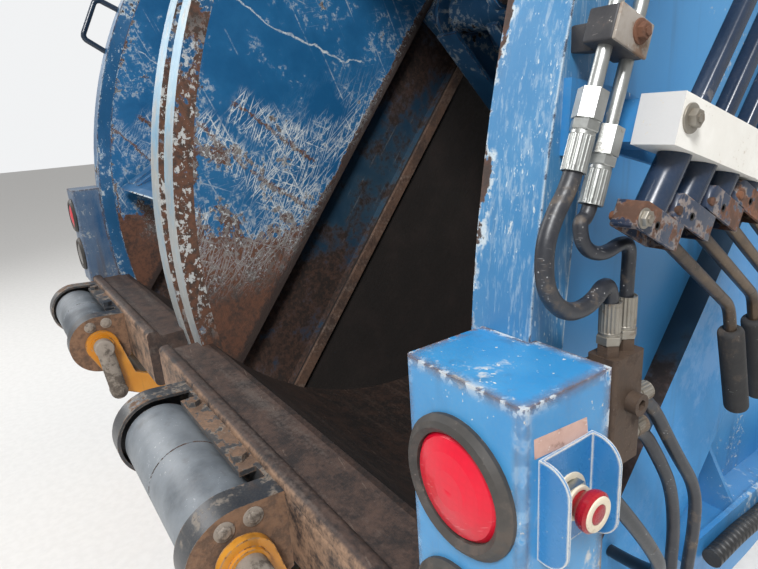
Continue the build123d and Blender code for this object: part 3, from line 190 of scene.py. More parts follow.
class Shader:
    """One material's node tree with the patterns that the finishes share."""

    def __init__(self, name: str, colour: Colour) -> None:
        """Start an empty node material.

        Args:
            name: Name of the material.
            colour: Colour under all the coats.
        """
        self.colour: Colour | Socket = colour
        self.material = bpy.data.materials.new(name)
        self.material.use_nodes = True
        self.tree = self.material.node_tree
        self.tree.nodes.clear()
        self.coords = self.add(Kind.COORDS).outputs["Object"]

    def add(self, kind: Kind, inputs: dict[object, object] | None = None, **settings: object) -> bpy.types.Node:
        """Add a node.

        Args:
            kind: The node's type.
            inputs: Values, sockets or signals for its inputs, by name or number.
            **settings: Properties of the node, set first.

        Returns:
            The new node.
        """
        node = self.tree.nodes.new(kind.value)
        for key, value in settings.items():
            setattr(node, key, value)
        for key, value in (inputs or {}).items():
            socket = node.inputs[key]
            if isinstance(value, Signal):
                value = value.socket
            if isinstance(value, Socket):
                self.tree.links.new(value, socket)
            elif isinstance(value, tuple) and len(value) == 3 and socket.type == "RGBA":
                socket.default_value = (*value, 1.0)
            else:
                socket.default_value = value
        return node

    def placed(self, scale: Point = (1, 1, 1), turn: Point = (0, 0, 0), move: Point = (0, 0, 0)) -> Socket:
        """Object coordinates turned, scaled and moved.

        Args:
            scale: Factor along each axis.
            turn: Turn about each axis, in degrees.
            move: Shift after the turn.

        Returns:
            The vector socket.
        """
        angles = tuple(math.radians(angle) for angle in turn)
        turned = self.add(Kind.MAPPING, {"Vector": self.coords, "Rotation": angles}).outputs[0]
        return self.add(Kind.MAPPING, {"Vector": turned, "Scale": scale, "Location": move}).outputs[0]

    def noise(self, scale: float, detail: float = 3.0, rough: float = 0.55,
              vector: Socket | None = None) -> Signal:
        """Cloudy pattern around 0.5, of a scale per metre, read in the object's coordinates or a vector's."""
        inputs = {"Vector": vector or self.coords, "Scale": scale, "Detail": detail, "Roughness": rough}
        return Signal(self, self.add(Kind.NOISE, inputs).outputs[0])

    def clouds(self, *patterns: tuple[float, float, float]) -> list[Signal]:
        """Cloudy patterns, each of a scale, a number of octaves and a roughness."""
        return [self.noise(*pattern) for pattern in patterns]

    def streaks(self, across: float, along: float) -> Signal:
        """Cloudy pattern drawn out downwards."""
        return self.noise(1.0, 3.0, 0.6, self.placed((across, across, along)))

    def cells(self, scale: Point, turn: Point = (0, 0, 0), seed: float = 0.0) -> Signal:
        """Distance to the scattered points of a seed, in turned and stretched coordinates."""
        where = self.placed(scale, turn, (seed, seed * 1.7, seed * 0.6))
        return Signal(self, self.add(Kind.VORONOI, {"Vector": where, "Scale": 1.0}).outputs["Distance"])

    def mix(self, first: object, second: object, factor: object) -> Socket:
        """Blend of two colours, the second where the mask is 1."""
        return self.add(Kind.MIX, {0: factor, 6: first, 7: second}, data_type="RGBA").outputs[2]

    def coat(self, colour: object, mask: object) -> None:
        """Lay a colour over what is there, where the mask is 1."""
        self.colour = self.mix(self.colour, colour, mask)

    def edges(self, radius: float) -> Signal:
        """Mask of the sharp edges within a radius.

        Args:
            radius: Reach of the mask from an edge, in metres.

        Returns:
            1 on an edge and 0 on a flat.
        """
        rounded = self.add(Kind.BEVEL, {"Radius": radius}, samples=6).outputs[0]
        normal = self.add(Kind.GEOMETRY).outputs["Normal"]
        dot = self.add(Kind.VECTOR, {0: rounded, 1: normal}, operation="DOT_PRODUCT").outputs["Value"]
        return Signal(self, dot).rise(0.985, 0.86)

    def axes(self) -> tuple[Signal, ...]:
        """X, Y and Z of the object coordinates."""
        split = self.add(Kind.SPLIT, {0: self.coords})
        return tuple(Signal(self, output) for output in split.outputs)

    def facing(self) -> tuple[Signal, ...]:
        """X, Y and Z of the surface's normal."""
        split = self.add(Kind.SPLIT, {0: self.add(Kind.GEOMETRY).outputs["Normal"]})
        return tuple(Signal(self, output) for output in split.outputs)

    def outer_skin(self, x: Signal) -> Signal:
        """Mask of the tailgate's outer sides, which face away from its middle."""
        return (self.facing()[0] * x).rise(0.4, 0.7)

    def bump(self, height: Signal, strength: float, depth: float) -> Socket:
        """Relief from a height pattern, with the depth in metres for a step of 1."""
        return self.add(Kind.BUMP, {"Height": height, "Strength": strength, "Distance": depth}).outputs[0]

    def close(self, **inputs: object) -> bpy.types.Material:
        """Add the surface shader and the output.

        Args:
            **inputs: Other inputs of the surface shader than its colour, with underscores for spaces.

        Returns:
            The material.
        """
        named = {key.replace("_", " "): value for key, value in inputs.items()}
        surface = self.add(Kind.BSDF, {"Base Color": self.colour, **named})
        self.add(Kind.OUTPUT, {"Surface": surface.outputs[0]})
        return self.material


@dataclass(frozen=True)
class Streak:
    """Straight mark on a side wall: a rusty weld line or a deep gouge, between two (Y, Z) points."""

    start: Flat
    end: Flat
    width: float = 0.007

    def mask(self, y: Signal, z: Signal, shake: Signal, reach: float) -> Signal:
        """Where the mark is.

        Args:
            y: Y coordinate.
            z: Z coordinate.
            shake: Pattern around 0 that makes the mark uneven, in metres.
            reach: Half width of the mark, in metres.

        Returns:
            The mask.
        """
        run = (self.end[0] - self.start[0], self.end[1] - self.start[1])
        length = math.hypot(*run)
        along_y, along_z = run[0] / length, run[1] / length
        off_y, off_z = y - self.start[0], z - self.start[1]
        along = off_y * along_y + off_z * along_z
        across = off_y * -along_z + off_z * along_y + shake
        ends = along.rise(-0.012, 0.012) * along.rise(length + 0.012, length - 0.012)
        return across.away(0.0).rise(reach, reach * 0.35) * ends


@dataclass(frozen=True)
class Finish:
    """Material that is made once, and the CAD nodes that wear it."""

    name: str
    nodes: str = field(default="", kw_only=True)


@dataclass(frozen=True)
class WornPaint(Finish):
    """Old paint with scratches down to the primer, chips, rust and grime."""

    paint: Colour
    faded: Colour
    primer: Colour = (0.5, 0.56, 0.58)
    rust: Colour = (0.13, 0.052, 0.026)
    dark_rust: Colour = (0.036, 0.019, 0.013)
    scratches: float = 0.3
    chips: float = 0.3
    rusting: float = 0.25
    edge_wear: float = 0.0
    edge_reach: float = 0.006
    grime: float = 0.3
    lie: Lie = Lie.SIDE
    gloss: float = 0.34
    low_dust: float = 0.0
    top_rust: float = 0.0
    side_rust: float = 0.0
    edge_rust: float = 1.0
    fleck: Flat = (150.0, 0.6)
    weathered: float = 0.0
    # Painted shade: darker paint over the faces that look along X
    side_paint: Colour | None = None
    rust_from_x: tuple[float, float, float] | None = None
    rusty_plates: tuple[Flat, ...] = ()

    def scratch_mask(self, shader: Shader, where: Signal) -> Signal:
        """Thin straight scratches of several directions and lengths.

        Args:
            shader: Shader in the making.
            where: Cloudy pattern that gathers the scratches.

        Returns:
            Mask of the scratches.
        """
        sets = ((24, 3.4, 120.0), (-41, 5.0, 170.0), (67, 2.0, 95.0), (-9, 8.0, 240.0), (88, 3.0, 140.0))
        masks = []
        for number, (angle, along, across) in enumerate(sets):
            turn = {Lie.SIDE: (angle, 0, 0), Lie.REAR: (0, angle, 0), Lie.FLAT: (0, 0, angle)}[self.lie]
            scale = {Lie.SIDE: (1.5, along, across), Lie.REAR: (along, 1.5, across),
                     Lie.FLAT: (along, across, 1.5)}[self.lie]
            level = 0.66 - 0.3 * self.scratches + 0.05 * math.sin(2.1 * number)
            dash = shader.cells(scale, turn, 3.1 * number + 1.3).rise(0.24, 0.14)
            masks.append(dash * where.rise(level, level + 0.06))
        return reduce(or_, masks)

    def outer_blue(self, shader: Shader, broad: Signal) -> Socket:
        """The tailgate's outer blue, streaked by rain."""
        clean = shader.mix(CLEAN_BLUE, CLEAN_FADED, broad.rise(0.35, 0.65))
        return shader.mix(clean, self.dark_rust, shader.streaks(26.0, 2.4).rise(0.52, 0.78) * 0.32)

    def extra_level(self, shader: Shader, x: Signal, z: Signal) -> Signal | float:
        """Rust that belongs to a place on the piece.

        Args:
            shader: Shader in the making.
            x: X coordinate.
            z: Z coordinate.

        Returns:
            What is added to the rust level.
        """
        total = 0.0
        if self.top_rust:
            total += shader.facing()[2].rise(0.6, 0.9) * self.top_rust
        if self.side_rust:
            side = shader.facing()[0].away(0.0).rise(0.6, 0.9)
            total += side * (z.rise(0.95, 0.4) * 0.7 + 0.3) * self.side_rust
        if self.rust_from_x:
            clean, rusty, amount = self.rust_from_x
            total += x.away(0.0).rise(clean, rusty) * amount
        for low, high in self.rusty_plates:
            total += x.rise(low - 0.01, low) * x.rise(high + 0.01, high) * shader.facing()[0].rise(0.5, 0.8) * 0.5
        return total

    def build(self) -> bpy.types.Material:
        """Make the material.

        Returns:
            The paint.
        """
        shader = Shader(self.name, self.paint)
        broad, medium, fine, grain = shader.clouds((2.2, 4, 0.6), (10, 5, 0.62), (60, 4, 0.62), (340, 2, 0.5))
        x, _, z = shader.axes()

        shader.coat(self.faded, (broad * 0.6 + medium * 0.4).rise(0.4, 0.62))
        # Painted shade: the darker paint on the faces that look along X
        if self.side_paint:
            side = shader.facing()[0].away(0.0).rise(0.6, 0.9)
            shader.coat(self.side_paint, side)
        streak = shader.streaks(30.0, 2.6)
        shader.coat(self.dark_rust, streak.rise(0.54, 0.76) * (0.55 * self.grime))
        if self.low_dust:
            dusty = (streak * 0.5 + medium * 0.5 + z.rise(0.95, 0.05) * 0.22).rise(0.52, 0.72)
            shader.coat(PALE_DUST, dusty * self.low_dust)
        if self.weathered:
            drawn = shader.noise(1.0, 5.0, 0.72, shader.placed((190.0, 190.0, 24.0), (0, 0, 0), (4, 9, 2)))
            shader.coat(self.primer, (drawn + (medium - 0.5) * 0.3).rise(0.5, 0.68) * self.weathered)

        where = medium * 0.45 + broad * 0.55
        bare = self.scratch_mask(shader, where) * fine.rise(0.32, 0.5)
        speckle = shader.noise(self.fleck[0], 4.0, 0.7, shader.placed((1, 1, self.fleck[1]), (0, 0, 0), (7, 3, 5)))
        chips = (speckle + (medium - 0.5) * 0.35).rise(0.73 - 0.08 * self.chips, 0.75 - 0.08 * self.chips)

        level = medium * 0.42 + fine * 0.22 + broad * 0.36 + self.extra_level(shader, x, z)
        limit = 0.7 - 0.3 * self.rusting
        rust = level.rise(limit, limit + 0.02)
        fringe = level.rise(limit - 0.05, limit) * fine.rise(0.49, 0.54)
        bare = bare | chips | (fringe * 0.9)
        if self.edge_wear > 0:
            edge = shader.edges(self.edge_reach)
            dashes = medium * 0.5 + fine * 0.5
            limit = 0.86 - 0.1 * self.edge_wear
            bare = bare | ((edge * 0.3 + dashes).rise(limit, limit + 0.03) * edge.rise(0.02, 0.08))
            if self.edge_rust:
                limit += 0.1 - 0.06 * self.edge_rust
                flaking = (edge * 0.3 + fine * 0.7 + broad * 0.3).rise(limit, limit + 0.02)
                rust = rust | (flaking * edge.rise(0.02, 0.08))
        shader.coat(self.primer, bare * 0.9)
        rust_colour = shader.mix(self.rust, self.dark_rust, (fine * 0.6 + medium * 0.4).rise(0.4, 0.62))
        shader.coat(rust_colour, rust * 0.97)
        if self.side_paint:
            flecks = ((speckle + (medium - 0.5) * 0.4).rise(0.55, 0.58) * side
                      * z.rise(0.78, 0.5) * z.rise(-0.1, 0.1))
            shader.coat(self.primer, flecks * 0.85)
        dust = (broad * 0.6 + grain * 0.4).rise(0.42, 0.66) * (0.16 * self.grime)
        shader.coat(BROWN_DUST, dust)

        rough = bare * 0.2 + rust * (0.84 - self.gloss) + fine * 0.14 + (self.gloss - 0.04)
        height = rust * (fine * 0.9 + grain * 0.5) * 0.8 - bare * 0.22 + broad * 0.5 + fine * 0.05
        return shader.close(Roughness=rough.limited(), Normal=shader.bump(height, 0.5, 0.0016))


@dataclass(frozen=True)
class WallPaint(WornPaint):
    """Paint of a hopper's side wall, scraped and rusted by the load on the faces that look inwards, with painted
    shade on them beyond the packer's edge.
    """

    weld_lines: tuple[Streak, ...] = ()
    gouges: tuple[Streak, ...] = ()

    def build(self) -> bpy.types.Material:
        """Make the material.

        Returns:
            The wall's paint.
        """
        shader = Shader(self.name, self.paint)
        broad, medium, fine, grain = shader.clouds((2, 4, 0.6), (11, 5, 0.64), (70, 4, 0.64), (360, 2, 0.5))
        x, y, z = shader.axes()
        outside = shader.outer_skin(x)
        inside = 1.0 - outside
        shader.coat(self.faded, (broad * 0.6 + medium * 0.4).rise(0.4, 0.62))
        shader.coat(self.outer_blue(shader, broad), outside)

        # Distances in the side plane: along the packer's edge and from the opening's arc
        off = (y - TRACK_DATUM[0]) * math.sin(TRACK_ANGLE) - (z - TRACK_DATUM[1]) * math.cos(TRACK_ANGLE)
        from_y, from_z = y - ARC_CENTRE[0], z - ARC_CENTRE[1]
        arc = (from_y * from_y + from_z * from_z).root()
        rim = arc.rise(ARC_RADIUS - 0.075, ARC_RADIUS - 0.03)
        low = z.rise(0.24, 0.06)
        scraped = off.rise(-0.3, -0.06) * z.rise(0.66, 0.42)
        # Beyond the packer's lower edge: more rust from the packed load, and a darker rust colour that is partly
        # painted shade
        packed_rust_and_shade = off.rise(-0.035, 0.0)

        shake = (fine - 0.5) * 0.045 + (medium - 0.5) * 0.04
        welds = reduce(or_, (line.mask(y, z, shake, line.width) for line in self.weld_lines))
        near = reduce(or_, (line.mask(y, z, shake, line.width * 9) for line in self.weld_lines))
        cuts = reduce(or_, (line.mask(y, z, (medium - 0.5) * 0.05, line.width) for line in self.gouges))

        where = medium * 0.45 + broad * 0.55 + scraped * 0.05 + near * 0.05
        worn = (scraped * 0.8 + low * 0.7 + near).limited() * (x.rise(-0.7, -0.2) * 0.5 + 0.5)
        bare = self.scratch_mask(shader, where) * fine.rise(0.34, 0.5) * (worn * 0.45 + 0.5)
        fan = shader.cells((1.5, 9.0, 260.0), (-64, 0, 0), 7.7).rise(0.4, 0.26)
        fan = fan | shader.cells((1.5, 8.0, 230.0), (-38, 0, 0), 4.1).rise(0.38, 0.24)
        scuff = (fine * 0.65 + medium * 0.35).rise(0.5, 0.56) * (fan * 0.7 + 0.3)
        bare = bare | (fan * worn * where.rise(0.44, 0.54)) | (scuff * worn * where.rise(0.46, 0.56))
        speck = shader.noise(110.0, 4.0, 0.7, shader.placed(move=(7, 3, 5))) + (medium - 0.5) * 0.3
        speck = speck.rise(0.6, 0.62)
        bare = (bare | (speck * (rim | low) * medium.rise(0.44, 0.52))) * inside
        bare = bare | (speck * broad.rise(0.54, 0.6) * medium.rise(0.52, 0.58) * outside)

        level = medium * 0.46 + fine * 0.2 + broad * 0.34 - 0.045
        level = level + (rim * 0.11 + low * 0.22 + packed_rust_and_shade * 0.35 + worn * 0.035 + 0.045) * inside
        limit = 0.7 - 0.3 * self.rusting
        rust = level.rise(limit, limit + 0.02) | (welds * fine.rise(0.36, 0.46) * inside)
        fringe = level.rise(limit - 0.06, limit) * fine.rise(0.5, 0.55)
        bare = bare | (fringe * 0.5 * inside) | (cuts * inside)
        chalk = shader.mix(self.primer, self.faded, (grain * 0.5 + fine * 0.5).rise(0.58, 0.42) * 0.5)
        flecks = (speck | (bare * 0.5)) * rust * (1.0 - packed_rust_and_shade) * broad.rise(0.44, 0.57) * z.rise(0.0, 0.14)
        shader.coat(chalk, bare * (fine + worn * 0.25 + 0.26))
        # Darker rust at random, and beyond the packer's edge also as painted shade
        darker_rust_and_shade = (fine * 0.6 + medium * 0.4 + packed_rust_and_shade * 0.3).rise(0.4, 0.66)
        rust_colour = shader.mix(self.rust, self.dark_rust, darker_rust_and_shade)
        shader.coat(rust_colour, rust * 0.98)
        shader.coat(chalk, flecks * inside * 0.8)
        # Painted shade: near black over the inner faces beyond the packer's lower edge, where the hopper lies in
        # shade
        painted_shade = off.rise(-0.03, 0.06) * (medium.rise(0.2, 0.6) * 0.25 + 0.68)
        shader.coat(PAINTED_SHADE_BLACK, painted_shade * inside)
        dust = (broad * 0.6 + grain * 0.4).rise(0.44, 0.68) * (0.1 * self.grime)
        shader.coat(WALL_DUST, dust)

        rough = bare * 0.2 + rust * (0.82 - self.gloss) + fine * 0.14 + (self.gloss - 0.04)
        height = rust * (fine * 0.9 + grain * 0.5) * 0.8 - bare * 0.22 + broad * 0.9 + medium * 0.15
        height = height + welds * inside * 0.8
        return shader.close(Roughness=rough.limited(), Normal=shader.bump(height, 0.5, 0.002))


@dataclass(frozen=True)
class ChannelPaint(WornPaint):
    """Dark, greasy paint in the slots where the packers slide, with the tailgate's blue on their outer side; the
    dark on the other faces is partly painted shade.
    """

    def build(self) -> bpy.types.Material:
        """Make the material.

        Returns:
            The channel's paint.
        """
        # The dark base stays on the faces that don't look outward: greasy slot, and partly painted shade of the
        # flanges
        shader = Shader(self.name, self.paint)
        broad, medium, fine = shader.clouds((3, 4, 0.6), (12, 5, 0.64), (80, 4, 0.64))
        x, _, z = shader.axes()
        outer = shader.outer_skin(x)
        shader.coat(self.faded, (broad * 0.6 + medium * 0.4).rise(0.4, 0.62))
        drag = shader.cells((1.5, 3.0, 130.0), (-52, 0, 0), 6.1).rise(0.26, 0.14) * medium.rise(0.46, 0.58)
        shader.coat(GREASY_METAL, drag * 0.6)
        ends = z.rise(0.3, 0.62) | z.rise(0.22, 0.0)
        rust = (medium * 0.45 + fine * 0.25 + broad * 0.3 + ends * 0.13).rise(0.5, 0.62)
        rust_colour = shader.mix(PACKED_RUST, WET_RUST, (fine * 0.6 + medium * 0.4).rise(0.4, 0.6))
        shader.coat(rust_colour, rust)
        shader.coat(self.outer_blue(shader, broad), outer)
        rough = fine * 0.2 + rust * 0.3 + 0.34 - outer * 0.06
        height = fine * 0.3 + medium * 0.5 + rust * fine * 0.6
        return shader.close(Roughness=rough.limited(), Normal=shader.bump(height, 0.45, 0.0016))


@dataclass(frozen=True)
class RustySteel(Finish):
    """Steel worn bare by waste: brown rust, dark stains and a few traces of paint."""

    rust: Colour = (0.06, 0.03, 0.018)
    dark: Colour = (0.014, 0.009, 0.007)
    pale: Colour = (0.13, 0.095, 0.075)
    paint: Colour = (0.03, 0.08, 0.16)
    traces: float = 0.2
    lie: Lie = Lie.FLAT
    rear_pale: float = 0.0
    rear_colour: Colour = (0.3, 0.185, 0.115)
    under_paint: Colour | None = None

    def build(self) -> bpy.types.Material:
        """Make the material.

        Returns:
            The rusty steel.
        """
        shader = Shader(self.name, self.dark)
        broad, medium, fine, grain = shader.clouds((3, 5, 0.65), (20, 6, 0.68), (120, 4, 0.65), (520, 2, 0.5))
        lengthwise = self.lie is Lie.SIDE
        stretch = (30.0, 3.0, 30.0) if lengthwise else (2.2, 30.0, 30.0)
        drag = shader.noise(1.0, 4.0, 0.6, shader.placed(stretch))
        shader.coat(self.rust, (medium * 0.5 + fine * 0.25 + broad * 0.25).rise(0.4, 0.6))
        shader.coat(self.pale, (drag * 0.6 + fine * 0.4).rise(0.5, 0.66) * 0.65)
        if self.rear_pale:
            rear = (shader.facing()[1].rise(-0.5, -0.9) * self.rear_pale
                    * (medium * 0.7 + fine * 0.3).rise(0.38, 0.6))
            shader.coat(self.rear_colour, rear)
        limit = 0.68 - 0.16 * self.traces
        trace = (medium * 0.5 + broad * 0.35 + fine * 0.15).rise(limit, limit + 0.03)
        shader.coat(self.paint, trace * 0.9)
        turn = (12, 0, 0) if lengthwise else (0, 0, 12)
        scale = (1.5, 4.0, 130.0) if lengthwise else (4.0, 120.0, 1.5)
        scratch = shader.cells(scale, turn, 2.2).rise(0.22, 0.12) * medium.rise(0.54, 0.62)
        shader.coat(SCORED_STEEL, scratch * 0.25)
        if self.under_paint:
            under = shader.facing()[2].rise(0.05, -0.15) * (medium * 0.6 + fine * 0.4).rise(0.62, 0.58)
            shader.coat(self.under_paint, under)
        rough = fine * 0.25 + 0.58 - scratch * 0.15 - trace * 0.12
        height = medium * 0.8 + fine * 0.5 + grain * 0.25 - scratch * 0.3
        return shader.close(Roughness=rough.limited(), Normal=shader.bump(height, 0.6, 0.002))


@dataclass(frozen=True)
class PlainFinish(Finish):
    """Plastic, rubber or metal with grime, fine grain and light scuffs."""

    base: Colour
    second: Colour
    rough: float = 0.5
    metal: float = 0.0
    scuffs: float = 0.3
    scuff_colour: Colour = (0.4, 0.4, 0.4)
    grime: float = 0.3
    grime_colour: Colour = (0.1, 0.075, 0.055)
    relief: float = 0.3
    scale: float = 1.0
    rings: float = 0.0
    rear_colour: Colour | None = None

    def build(self) -> bpy.types.Material:
        """Make the material.

        Returns:
            The finish.
        """
        shader = Shader(self.name, self.base)
        size = self.scale
        broad, medium, fine = shader.clouds((9 * size, 4, 0.6), (45 * size, 5, 0.65), (260 * size, 3, 0.6))
        shader.coat(self.second, (broad * 0.6 + medium * 0.4).rise(0.38, 0.62))
        # Painted shade: one even colour over the faces that look rearward
        if self.rear_colour:
            shader.coat(self.rear_colour, shader.facing()[1].rise(-0.4, -0.8))
        marks = shader.cells((40.0, 60.0, 620.0), (25, 10, 40), 5.0).rise(0.22, 0.12)
        specks = shader.cells((240.0, 240.0, 240.0), (0, 0, 0), 3.0).rise(0.22, 0.12)
        marks = (marks * 0.4 | specks) * medium.rise(0.6 - 0.16 * self.scuffs, 0.68 - 0.16 * self.scuffs)
        shader.coat(self.scuff_colour, marks * 0.85)
        dirt = (medium * 0.55 + broad * 0.45).rise(0.64 - 0.22 * self.grime, 0.7 - 0.18 * self.grime)
        shader.coat(self.grime_colour, dirt * 0.75)
        rough = self.rough + fine * 0.12 + dirt * 0.25 + marks * 0.1
        metallic = self.metal - dirt * (0.8 * self.metal)
        height = fine * 0.6 + medium * 0.6 + dirt * 0.5 - marks * 0.3
        if self.rings:
            wave = shader.add(Kind.WAVE, {"Vector": shader.coords, "Scale": self.rings},
                              wave_type="BANDS", bands_direction="Y", wave_profile="SIN").outputs["Fac"]
            height = height + Signal(shader, wave) * 6.0
        return shader.close(
            Roughness=rough.limited(), Metallic=metallic.limited(),
            Normal=shader.bump(height, self.relief, 0.0008),
        )


@dataclass(frozen=True)
class LampLens(Finish):
    """Coloured lens over a grid of small lamps."""

    base: Colour
    deep: Colour
    pitch: float = 0.016

    def build(self) -> bpy.types.Material:
        """Make the material.

        Returns:
            The lens.
        """
        shader = Shader(self.name, self.base)
        x, _, z = shader.axes()
        broad, fine = shader.clouds((14, 3, 0.6), (300, 3, 0.6))
        turns = math.tau / self.pitch
        dots = (x * turns).sine() * (z * turns).sine()
        shader.coat(self.deep, dots.away(0.0).rise(0.75, 0.1) * 0.12 + broad.rise(0.4, 0.7) * 0.4)
        haze = shader.cells((40.0, 40.0, 400.0), (0, 30, 0), 1.0).rise(0.22, 0.14) * broad.rise(0.5, 0.6)
        shader.coat(LENS_HAZE, haze * 0.25)
        return shader.close(
            Roughness=(fine * 0.14 + 0.24).limited(), Coat_Weight=0.15, Specular_IOR_Level=0.3,
            Normal=shader.bump(dots.away(0.0) * 0.3 + fine * 0.1, 0.2, 0.0006),
        )


WALL_WELDS = (
    Streak((-1.741, 0.284), (-1.752, 0.062), 0.005),
    Streak((-1.752, 0.062), (-1.585, 0.067), 0.005),
    Streak((-1.713, 0.489), (-1.599, 0.361), 0.007),
    Streak((-1.599, 0.361), (-1.435, 0.239), 0.008),
    Streak((-1.613, 0.529), (-1.499, 0.443), 0.008),
    Streak((-1.499, 0.443), (-1.392, 0.358), 0.009),
)
WALL_GOUGES = (
    Streak((-1.565, 0.769), (-1.463, 0.7), 0.003),
    Streak((-1.463, 0.7), (-1.265, 0.628), 0.004),
    Streak((-1.265, 0.628), (-1.208, 0.622), 0.003),
)


